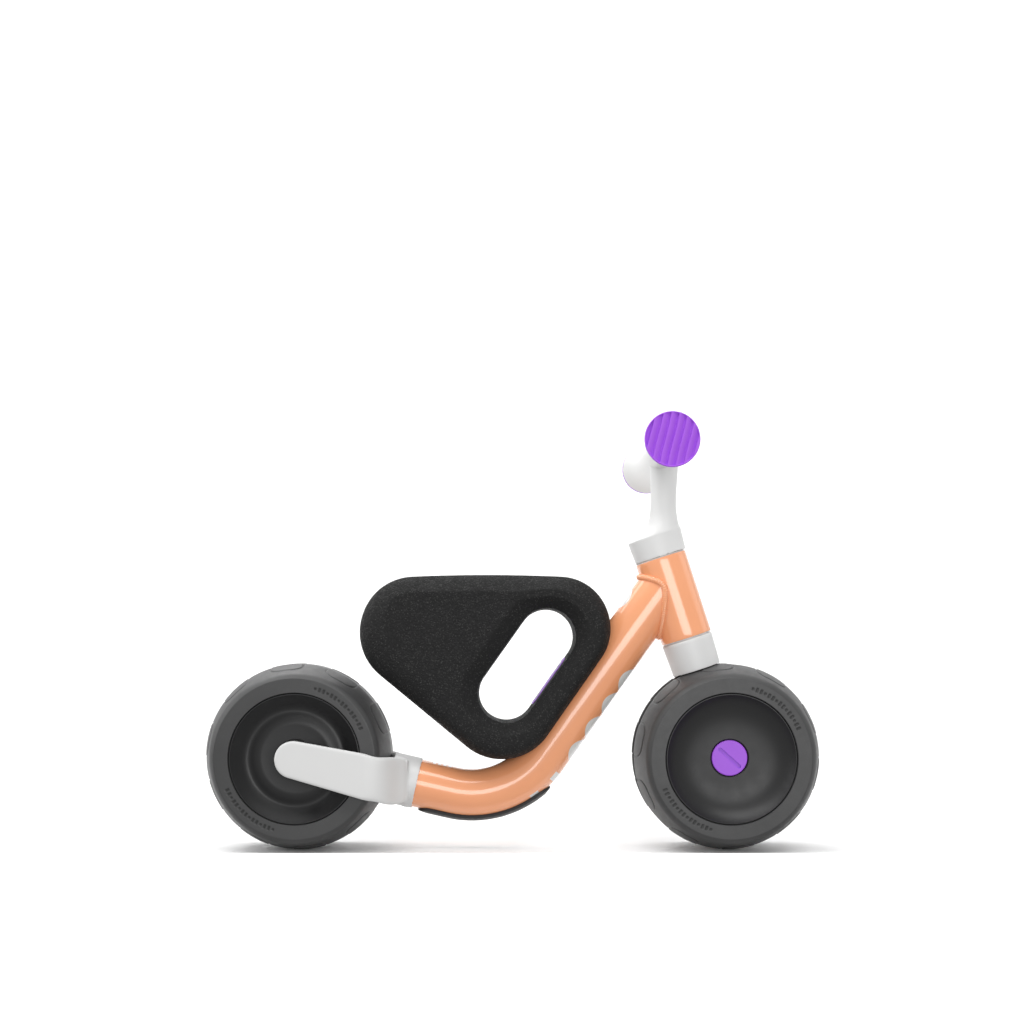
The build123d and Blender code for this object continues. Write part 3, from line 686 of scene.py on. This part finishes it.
def makeGuard():
    # a strip under the rear run and the bend, its ends rounded
    size = guardSizes
    stop = rearLength + bendLength * size["bendShare"]
    steps = 160
    points = []
    for k in range(steps + 1):
        run = size["start"] + (stop - size["start"]) * (1 - math.cos(math.pi * k / steps)) / 2
        centre, high = tubeFrame(run)
        gap = min(run - size["start"], stop - run, size["endRound"])
        share = math.sqrt(max(0.0004, 1 - (1 - gap / size["endRound"]) ** 2))
        half = math.radians(size["halfTurn"]) * share
        thick = (size["outer"] - size["inner"]) * min(1.0, 0.35 + share * 0.65)
        section = []
        for j in range(25):
            turn = -half + 2 * half * j / 24
            edge = min(half - abs(turn), size["edgeRound"] / size["outer"]) * size["outer"]
            short = size["edgeRound"] - edge
            fall = size["edgeRound"] - math.sqrt(max(0.0, size["edgeRound"] ** 2 - short**2))
            section.append((turn, size["inner"] + thick - fall))
        section += [(turn, size["inner"]) for turn, _ in reversed(section)]
        points += [centre + (across * math.sin(turn) - high * math.cos(turn)) * radius
                   for turn, radius in section]
    columns = 50
    faces = gridFaces(steps + 1, columns, False, True)
    faces.append(tuple(range(columns)))
    faces.append(tuple(steps * columns + j for j in reversed(range(columns))))
    return makePiece("bellyGuard", points, faces, guardBlack, "chassis", ["belly_guard"], 40)


makeGuard()


seatOut = across.cross(downWay)
seatSizes = {"rear": ((-99.2, 222.0), 56.5), "front": ((46.8, 225.8), 52.7), "low": ((-11.1, 149.4), 56.5),
             "slotLow": (-6.4, 159.7), "slotLength": 70.7, "slotRadius": 29.4, "halfWidth": 45.9,
             "crown": 1.4, "topEdge": (16.0, 14.0), "softEdge": (30.0, 22.0), "funnel": (17.0, 9.0),
             "tubeGap": 0.35, "columns": 420, "arch": 1.6, "archMiddle": -26.0, "archHalf": 74.0,
             "wallBow": 1.4, "plateSpace": (29.3, 20.3, 3.0)}


def seatEdges():
    # the rounded triangle's three sides: corner, radius, outward normal and its height
    size = seatSizes
    corners = [(Vector(c), r) for c, r in (size["low"], size["front"], size["rear"])]
    edges = []
    for k in range(3):
        (a, ra), (b, rb) = corners[k], corners[(k + 1) % 3]
        way = (b - a).normalized()
        lean = (ra - rb) / (b - a).length
        normal = way * lean + Vector((way.y, -way.x)) * math.sqrt(1 - lean**2)
        edges.append((a, ra, normal, normal.dot(a) + ra))
    return edges


triangle = seatEdges()


def outlineDistance(point):
    # signed distance to the rounded triangle, negative inside
    best = max(normal.dot(point) - height for _, _, normal, height in triangle)
    for k, (corner, radius, normal, _) in enumerate(triangle):
        before = triangle[k - 1][2]
        out = point - corner
        if before.x * out.y - before.y * out.x >= 0 and out.x * normal.y - out.y * normal.x >= 0:
            best = max(best, out.length - radius)
    return best


def slotFrame(share):
    # a point on the slot's edge and the way out from it, going once round as share goes 0 to 1
    size = seatSizes
    way = Vector((downWay.x, downWay.z))
    side = Vector((way.y, -way.x))
    radius, length = size["slotRadius"], size["slotLength"]
    half = length + math.pi * radius
    run = share * 2 * half
    sign = 1 if run < half else -1
    run %= half
    start = Vector(size["slotLow"]) + way * (0 if sign > 0 else length)
    turn = max(0.0, run - length) / radius
    out = (side * math.cos(turn) + way * math.sin(turn)) * sign
    return start + way * min(run, length) * sign + out * radius, out

def rayToOutline(start, way):
    low, high = 0.0, 260.0
    for _ in range(40):
        middle = (low + high) / 2
        if outlineDistance(start + way * middle) < 0:
            low = middle
        else:
            high = middle
    return low


def outlineNormal(point):
    step = 0.05
    dx = outlineDistance(point + Vector((step, 0))) - outlineDistance(point - Vector((step, 0)))
    dz = outlineDistance(point + Vector((0, step))) - outlineDistance(point - Vector((0, step)))
    return Vector((dx, dz)).normalized()


def ease(distance, width, height):
    # how far a quarter-round edge falls at a distance in from the rim
    if distance >= width:
        return 0.0
    share = 1 - distance / width
    return height * (1 - math.sqrt(max(0.0, 1 - share**2.4)))


def makeSeat():
    size = seatSizes
    columns = []
    for share in (k / size["columns"] for k in range(size["columns"])):
        edge, way = slotFrame(share)
        reach = rayToOutline(edge, way)
        rim = edge + way * reach
        normal = outlineNormal(rim)
        top = smoothStep(normal.y, 0.2, 0.9)
        width = size["softEdge"][0] + (size["topEdge"][0] - size["softEdge"][0]) * top
        height = size["softEdge"][1] + (size["topEdge"][1] - size["softEdge"][1]) * top
        width = min(width, reach * 0.42)
        funnelWidth, funnelDepth = min(size["funnel"][0], reach * 0.36), size["funnel"][1]
        face = []
        steps = 72
        for k in range(steps + 1):
            lean = (1 - math.cos(math.pi * k / steps)) / 2
            here = reach * lean
            point = edge + way * here
            inset = -outlineDistance(point) if k < steps else 0.0
            soft = ease(max(0.0, inset), width, height)
            near = max(0.0, 1 - inset / width)
            crisp = height * (0.75 * near + 0.25 * near**4)
            fall = soft + (crisp - soft) * top
            funnel = funnelDepth * max(0.0, 1 - here / funnelWidth) ** 1.1
            span = (rim.x - size["archMiddle"]) / size["archHalf"]
            rise = size["arch"] * top * max(0.0, 1 - span**2) * lean**2
            face.append((point + Vector((0, rise)), size["halfWidth"] - fall - funnel))
        bandHalf = face[-1][1]
        slotHalf = face[0][1]
        ring = [Vector((p.x, -y, p.y)) for p, y in face]
        bandSteps = 14
        for k in range(1, bandSteps):
            y = -bandHalf + 2 * bandHalf * k / bandSteps
            bulge = size["crown"] * (1 - (y / bandHalf) ** 2)
            p = face[-1][0] + normal * (bulge - size["crown"])
            ring.append(Vector((p.x, y, p.y)))
        ring += [Vector((p.x, y, p.y)) for p, y in reversed(face)]
        wallSteps = 14
        for k in range(1, wallSteps):
            y = slotHalf - 2 * slotHalf * k / wallSteps
            p = edge + way * size["wallBow"] * ((y / slotHalf) ** 2 - 1)
            ring.append(Vector((p.x, y, p.y)))
        columns.append(ring)
    points = [p for ring in columns for p in ring]
    faces = gridFaces(len(columns), len(columns[0]), True, True, flip=True)
    piece = looseMesh("seatFoam", points, faces)
    for cutter in (tubeCutter(), plateCutter()):
        carve = piece.modifiers.new("carve", "BOOLEAN")
        carve.operation = "DIFFERENCE"
        carve.solver = "EXACT"
        carve.object = cutter
        settle(piece)
        bpy.data.objects.remove(cutter)
    finishPiece(piece, seatFoam, "chassis", ["seat"], 60)
    return piece


boltSizes = {"spacing": 36.0, "plateHalf": 1.5, "head": 5.5, "socket": 2.3, "socketDepth": 0.9,
             "rise": 0.35, "shank": 2.95, "length": 11.0, "sides": 48}

def makeSeatBolts():
    # two low round heads with a six-sided socket, lying flat on the plate
    size = boltSizes
    rings = [(0.01, -size["socketDepth"]), (size["socket"], -size["socketDepth"]),
             (size["socket"] + 0.3, size["rise"]), (size["head"] - 0.5, size["rise"]),
             (size["head"], size["rise"] - 0.3), (size["head"], -1.0), (size["shank"], -1.0),
             (size["shank"], -size["length"])]
    sides = size["sides"]
    points = []
    faces = []
    for step in (-0.5, 0.5):
        start = middleOf("seat_plate") + downWay * size["spacing"] * step - seatOut * size["plateHalf"]
        first = len(points)
        for k, (radius, height) in enumerate(rings):
            for j in range(sides):
                turn = 2 * math.pi * j / sides
                facet = (turn + math.pi / 6) % (math.pi / 3) - math.pi / 6
                reach = radius * math.cos(math.pi / 6) / math.cos(facet) if k in (1, 2) else radius
                spot = downWay * math.cos(turn) + across * math.sin(turn)
                points.append(start + spot * reach - seatOut * height)
        faces += [tuple(first + v for v in f) for f in gridFaces(len(rings), sides, False, True)]
        faces.append(tuple(len(points) - sides + j for j in range(sides)))
    return makePiece("seatBoltHeads", points, faces, steel, "chassis", ["seat_bolts"], 30)

def tubeCutter():
    # the frame tube's space in the foam
    steps, sides = 120, 96
    radius = tubeSizes["topRadius"] + seatSizes["tubeGap"]
    stop = rearLength + bendLength + downLength
    points = []
    for k in range(steps + 1):
        centre, high = tubeFrame(stop * k / steps)
        for j in range(sides):
            turn = 2 * math.pi * j / sides
            points.append(centre + (high * math.cos(turn) + across * math.sin(turn)) * radius)
    faces = gridFaces(steps + 1, sides, False, True)
    faces.append(tuple(reversed(range(sides))))
    faces.append(tuple(steps * sides + j for j in range(sides)))
    return looseMesh("tubeSpace", points, faces)

def plateCutter():
    # the plate's recess in the slot's lower front wall
    length, width, depth = seatSizes["plateSpace"]
    points = [middleOf("seat_plate") + downWay * length * a + across * width * b + seatOut * depth * c
              for a in (-1, 1) for b in (-1, 1) for c in (-1, 1)]
    faces = [(0, 1, 3, 2), (4, 6, 7, 5), (0, 4, 5, 1), (2, 3, 7, 6), (0, 2, 6, 4), (1, 5, 7, 3)]
    return looseMesh("plateSpace", points, faces)

seat = makeSeat()
makeSeatBolts()
print("seat made")


barSizes = {"x": 150.4, "z": 404.6, "end": 131.0, "radius": 14.0, "endRadius": 26.9, "flareStart": 52.0,
            "collarLow": 215.9, "sides": 96, "voxel": 0.8, "rounds": 4}

# the stem's sections from the collar up: rear point, front point and half width
stemSections = [((127.9, 291.1), (178.8, 307.9), 26.8), ((119.4, 313.3), (173.3, 330.3), 25.4),
                ((126.5, 318.3), (171.6, 333.3), 23.2), ((133.4, 323.9), (170.7, 337.2), 20.7),
                ((138.9, 332.7), (169.6, 343.5), 17.6), ((141.6, 343.8), (168.9, 351.0), 15.2),
                ((142.4, 359.5), (168.9, 362.0), 13.8), ((142.4, 380.0), (170.0, 380.0), 13.6),
                ((141.4, 396.0), (171.2, 396.0), 14.6), ((139.5, 404.6), (172.4, 404.6), 15.6)]


def gripRadius(y):
    size = barSizes
    share = max(0.0, (abs(y) - size["flareStart"]) / (size["end"] - size["flareStart"]))
    return size["radius"] + (size["endRadius"] - size["radius"]) * (0.25 * share**2 + 0.75 * share**5)


def between(p0, p1, p2, p3, share):
    # a smooth curve from p1 to p2 that heads for their neighbours
    a = p1 * 2
    b = (p2 - p0) * share
    c = (p0 * 2 - p1 * 5 + p2 * 4 - p3) * share**2
    d = (p1 * 3 - p0 - p2 * 3 + p3) * share**3
    return (a + b + c + d) * 0.5


def stemRings():
    rows = [Vector((r[0], r[1], f[0], f[1])) for r, f, _ in stemSections]
    widths = [w for _, _, w in stemSections]
    turns = [2 * math.pi * j / barSizes["sides"] for j in range(barSizes["sides"])]
    rings = []
    for k in range(len(rows) - 1):
        steps = 2 if k == 0 else 8
        for i in range(steps + (k == len(rows) - 2)):
            share = i / steps
            if k < 2:
                row = rows[k].lerp(rows[k + 1], share)
                width = widths[k] + (widths[k + 1] - widths[k]) * share
            else:
                last = min(k + 2, len(rows) - 1)
                row = between(rows[k - 1], rows[k], rows[k + 1], rows[last], share)
                width = between(widths[k - 1], widths[k], widths[k + 1], widths[last], share)
            rear, front = Vector((row[0], 0, row[1])), Vector((row[2], 0, row[3]))
            middle, reach = (rear + front) / 2, (front - rear) / 2
            rings.append([middle + reach * math.cos(t) + across * width * math.sin(t) for t in turns])
    return rings


def makeHandlebar():
    size = barSizes
    sides = size["sides"]
    rings = stemRings()
    middle = sum(rings[0], Vector()) / sides
    drop = (middle - frontAxle).dot(steerUp) - size["collarLow"]
    rings.insert(0, [p - steerUp * drop for p in rings[0]])
    centre = Vector((size["x"], 0, size["z"]))
    profile = [(gripRadius(y), y) for y in (-size["end"] + 2 * size["end"] * k / 160 for k in range(161))]
    profile = [(0.001, -size["end"])] + profile + [(0.001, size["end"])]
    points = turnedPoints(profile, centre, sides)
    faces = gridFaces(sides, len(profile), True, False, flip=True)
    stemFaces = gridFaces(len(rings), sides, False, True)
    stemFaces.append(tuple(reversed(range(sides))))
    stemFaces.append(tuple((len(rings) - 1) * sides + j for j in range(sides)))
    faces += [tuple(len(points) + v for v in f) for f in stemFaces]
    points += [p for ring in rings for p in ring]
    piece = looseMesh("handlebar", points, faces)
    weldSeam(piece.data)
    evenOut(piece, size["voxel"], size["rounds"])
    finishPiece(piece, white, "steering", ["handlebar"], 50)
    return piece

makeHandlebar()


capSizes = {"radius": 26.5, "inner": 131.05, "face": 135.0, "pitch": 7.5, "depth": 2.5, "lean": 101.0,
            "wave": 0.9, "waveLength": 75.0, "rim": 0.9}


def makeGripCap(name, side, node):
    # a round end cap with wavy ribs across its face
    size = capSizes
    centre = Vector((barSizes["x"], 0, barSizes["z"]))
    segments, rings = 300, 90
    lean = math.radians(size["lean"])
    flat = size["radius"] - size["rim"]
    profile = [(0.02, size["inner"]), (size["radius"] - 0.6, size["inner"]),
               (size["radius"], size["inner"] + 0.6), (size["radius"], size["face"] - size["rim"])]
    profile += [(flat + size["rim"] * math.cos(t), size["face"] - size["rim"] * (1 - math.sin(t)))
                for t in (math.pi / 2 * k / 5 for k in range(1, 6))]
    profile += [(flat - (flat - 0.02) * k / rings, size["face"]) for k in range(1, rings + 1)]

    def shape(radius, y, angle):
        if y < size["face"] - 0.01:
            return radius, y * side
        x, z = -side * radius * math.cos(angle), radius * math.sin(angle)
        over = x * math.sin(lean) - z * math.cos(lean)
        along = x * math.cos(lean) + z * math.sin(lean)
        over += size["wave"] * math.sin(2 * math.pi * along / size["waveLength"])
        share = over / size["pitch"] % 1.0
        rib = smoothStep(share, 0.0, 0.2) * (1 - ((share - 0.2) / 0.8) ** 1.6 if share > 0.2 else 1.0)
        dip = size["depth"] * (1 - rib) * smoothStep(flat - radius, 0.0, 0.8)
        return radius, (y - dip) * side

    points = turnedPoints(profile, centre, segments, shape)
    faces = gridFaces(segments, len(profile), True, False, flip=side < 0)
    piece = makePiece(name, points, faces, violetGrip, "steering", [node], 60)
    weldSeam(piece.data)
    return piece


makeGripCap("gripCapRight", -1, "grip_cap_right")
makeGripCap("gripCapLeft", 1, "grip_cap_left")
print("handlebar made")


rearForkSizes = {"voxel": 0.9, "rounds": 16, "collar": 27.0, "turnIn": 0.88, "turnStart": -136.0,
                 "turnStop": -103.0, "flowRounds": 130}

def makeRearFork(name, node):
    size = rearForkSizes
    piece = looseCopy(name, node)
    evenOut(piece, size["voxel"], size["rounds"])
    # the arm's end turns in and flows into the collar
    group = piece.vertex_groups.new(name="blend")
    for vertex in piece.data.vertices:
        x, y, _ = vertex.co / mm
        beyond = abs(y) - size["collar"]
        if beyond > 0:
            turnIn = beyond * size["turnIn"] * smoothStep(x, size["turnStart"], size["turnStop"])
            vertex.co.y -= math.copysign(turnIn, y) * mm
        share = smoothStep(x, -152.0, -132.0) * smoothStep(-x, 96.0, 103.0) * smoothStep(beyond, 0.0, 4.0)
        group.add([vertex.index], share, "REPLACE")
    flow = piece.modifiers.new("flow", "SMOOTH")
    flow.factor = 0.8
    flow.iterations = size["flowRounds"]
    flow.vertex_group = "blend"
    settle(piece)
    finishPiece(piece, white, "chassis", [node], 60)
    return piece

makeRearFork("rearForkRight", "rear_fork_right")
makeRearFork("rearForkLeft", "rear_fork_left")

crownSizes = {"low": 93.0, "top": 126.5, "lowRadius": 25.0, "topRadius": 26.3, "tyreGap": 1.0,
              "strutHalf": 7.0, "strutEnd": 15.0, "strutTop": 17.0, "strutReach": 8.0, "round": 2.4}


def makeCrown():
    size = crownSizes
    low, top = size["low"], size["top"]
    outer = size["lowRadius"]
    profile = [(0.02, low)] + [((outer - 1.2) * k / 30, low) for k in range(1, 31)]
    profile += [(outer - 1.2 + 1.2 * math.sin(t), low + 1.2 * (1 - math.cos(t)))
                for t in (math.pi / 2 * k / 5 for k in range(1, 6))]
    for k in range(1, 13):
        share = k / 12
        profile.append((outer + (size["topRadius"] - outer) * share, low + 1.2 + (top - low - 2.7) * share))
    profile += [(size["topRadius"] - 0.1, top - 1.3), (size["topRadius"] - 1.0, top), (0.02, top)]

    points = []
    for point in turnedPoints(profile, frontAxle, 200, None, steerUp, steerForward):
        # the underside follows the tyre's tread, which passes close below it
        out = point - frontAxle
        height, lateral = out.dot(steerUp), out.dot(steerForward)
        clear = crownRadius(out.y) + size["tyreGap"]
        needed = math.sqrt(max(0.0, clear**2 - lateral**2))
        points.append(point + steerUp * max(0.0, needed - height))
    faces = gridFaces(200, len(profile), True, False, flip=True)
    piece = makePiece("forkCrown", points, faces, white, "steering", ["fork"], 30)
    weldSeam(piece.data)
    return piece


def makeStrut():
    # the flat leg between the two front half wheels, its edges rounded
    size = crownSizes
    length = size["low"] + size["strutReach"]
    low, top = size["strutEnd"], size["strutTop"]
    turns = [math.pi + math.pi * k / 48 for k in range(49)]
    outline = [Vector((math.cos(t), math.sin(t))) * low for t in turns]
    outline += [Vector((low + (top - low) * k / 24, length * k / 24)) for k in range(1, 25)]
    outline += [Vector((-low - (top - low) * k / 24, length * k / 24)) for k in range(24, 0, -1)]
    rows = []
    flat = size["strutHalf"] - size["round"]
    for k in range(10):
        turn = math.pi / 2 * (k if k < 5 else k - 1) / 4
        inset = size["round"] * (1 - math.sin(turn))
        y = (-flat if k < 5 else flat) - size["round"] * math.cos(turn)
        row = []
        for j, corner in enumerate(outline):
            way = (outline[(j + 1) % len(outline)] - outline[j - 1]).normalized()
            point = corner - Vector((way.y, -way.x)) * inset
            row.append(frontAxle + steerForward * point.x + steerUp * point.y + across * y)
        rows.append(row)
    columns = len(outline)
    points = [p for row in rows for p in row]
    faces = gridFaces(len(rows), columns, False, True, flip=True)
    faces.append(tuple(range(columns)))
    faces.append(tuple((len(rows) - 1) * columns + j for j in reversed(range(columns))))
    return makePiece("forkStrut", points, faces, white, "steering", [], 40)


makeCrown()
makeStrut()
print("forks made")


keptFinishes = {
    "headset_bush_lower": white, "headset_bush_upper": white, "guard_screws": steel,
    "seat_plate": violet, "seat_sleeves": steel, "tube_plug": nylonBlack,
    "tube_screw": steel, "rear_fork_bolts": steel, "rear_fork_inserts": brass, "rear_axle": steel,
    "fork_pin": steel, "steerer_tube": steel, "steering_stop": steel, "stem_bolt": steel,
    "front_axle": steel,
}
for part in ("rear_spacer", "front_washer", "rear_bearing", "front_bearings", "axle_cap"):
    kind = {"axle_cap": violet, "rear_bearing": bearingSteel, "front_bearings": bearingSteel}.get(part, steel)
    keptFinishes[part + "_left"] = kind
    keptFinishes[part + "_right"] = kind
for node, finish in keptFinishes.items():
    mesh = frame["nodes"][node].data
    mesh.materials.clear()
    mesh.materials.append(finish.material)
print("kept pieces finished")


stageSizes = {"width": 6.0, "front": -0.043, "back": 2.6, "bend": 0.9, "height": 3.2, "pageWidth": 4.0,
              "pageLow": -3.0, "pageHigh": -0.01, "pageBack": 1.6}


def makeFloor():
    size = stageSizes
    profile = [(size["front"], 0.0), (size["back"] - size["bend"], 0.0)]
    for k in range(1, 17):
        turn = math.pi / 2 * k / 16
        profile.append((size["back"] - size["bend"] + size["bend"] * math.sin(turn),
                        size["bend"] - size["bend"] * math.cos(turn)))
    profile.append((size["back"], size["height"]))
    points = [(x, y, z) for x in (-size["width"], size["width"]) for y, z in profile]
    faces = gridFaces(2, len(profile), False, False)
    paper = Finish("palePaper", Roughness=0.7)
    grain = paper.noise(30.0, 3.0)
    paper.feed("Base Color", paper.mix(grain, (0.93, 0.93, 0.93, 1), (0.95, 0.95, 0.95, 1)))
    stagePiece("floor", points, faces, paper)

    # a lit page behind, seen below the floor's front edge
    wide, low, high, back = size["pageWidth"], size["pageLow"], size["pageHigh"], size["pageBack"]
    page = Finish("litPage", Roughness=1.0, Emission_Strength=1.0)
    page.feed("Emission Color", page.mix(page.noise(5.0, 1.0), (1, 1, 1, 1), (0.99, 0.99, 0.99, 1)))
    points = [(-wide, back, low), (wide, back, low), (wide, back, high), (-wide, back, high)]
    stagePiece("page", points, [(0, 1, 2, 3)], page)


def stagePiece(name, points, faces, finish):
    mesh = bpy.data.meshes.new(name)
    mesh.from_pydata(points, [], faces)
    mesh.materials.append(finish.material)
    piece = bpy.data.objects.new(name, mesh)
    bpy.context.scene.collection.objects.link(piece)
    smoothShade(mesh, 60)


def areaLight(name, place, target, width, height, brightness):
    # brightness is the radiance of its face, where 1 is white paper in full light
    lamp = bpy.data.lights.new(name, "AREA")
    lamp.shape = "RECTANGLE"
    lamp.size = width
    lamp.size_y = height
    lamp.energy = brightness * math.pi * width * height
    holder = bpy.data.objects.new(name, lamp)
    holder.location = place
    holder.rotation_euler = (Vector(target) - Vector(place)).to_track_quat("-Z", "Y").to_euler()
    holder.visible_camera = False
    bpy.context.scene.collection.objects.link(holder)


# each light's place, the width and height of its face, and its brightness
lampSizes = {"frontKey": ((0.3, -1.8, 0.33), 1.15, 0.62, 4.5),
             "topStrip": ((-0.2, -0.7, 1.75), 2.4, 0.7, 4.0),
             "topRim": ((-0.8, 0.9, 1.6), 1.6, 0.7, 2.2), "leftSide": ((-2.0, 0.0, 0.9), 1.2, 1.4, 2.2),
             "rightSide": ((2.0, 0.2, 1.0), 1.0, 1.4, 0.6)}

def makeLights():
    for name, (place, width, height, brightness) in lampSizes.items():
        areaLight(name, place, (0.0, 0.0, 0.2), width, height, brightness)
    areaLight("backWash", (0.0, 1.0, 2.6), (0.0, 2.5, 0.5), 4.0, 0.8, 5.0)
    world = bpy.data.worlds.new("softRoom")
    world.use_nodes = True
    world.node_tree.nodes["Background"].inputs["Color"].default_value = (1, 1, 1, 1)
    world.node_tree.nodes["Background"].inputs["Strength"].default_value = 0.54
    bpy.context.scene.world = world


cameraSizes = {"place": (-0.01295, -1.61, 0.21425), "lens": 54.8, "sensor": 36, "shift": (0.0117, 0.125)}

def makeCamera():
    size = cameraSizes
    lens = bpy.data.cameras.new("camera")
    lens.sensor_width = size["sensor"]
    lens.lens = size["lens"]
    lens.shift_x, lens.shift_y = size["shift"]
    camera = bpy.data.objects.new("camera", lens)
    camera.location = size["place"]
    camera.rotation_euler = (math.pi / 2, 0, 0)
    bpy.context.scene.collection.objects.link(camera)
    bpy.context.scene.camera = camera

makeFloor()
makeLights()
makeCamera()
bpy.context.scene.view_settings.view_transform = "Standard"
print("stage made")
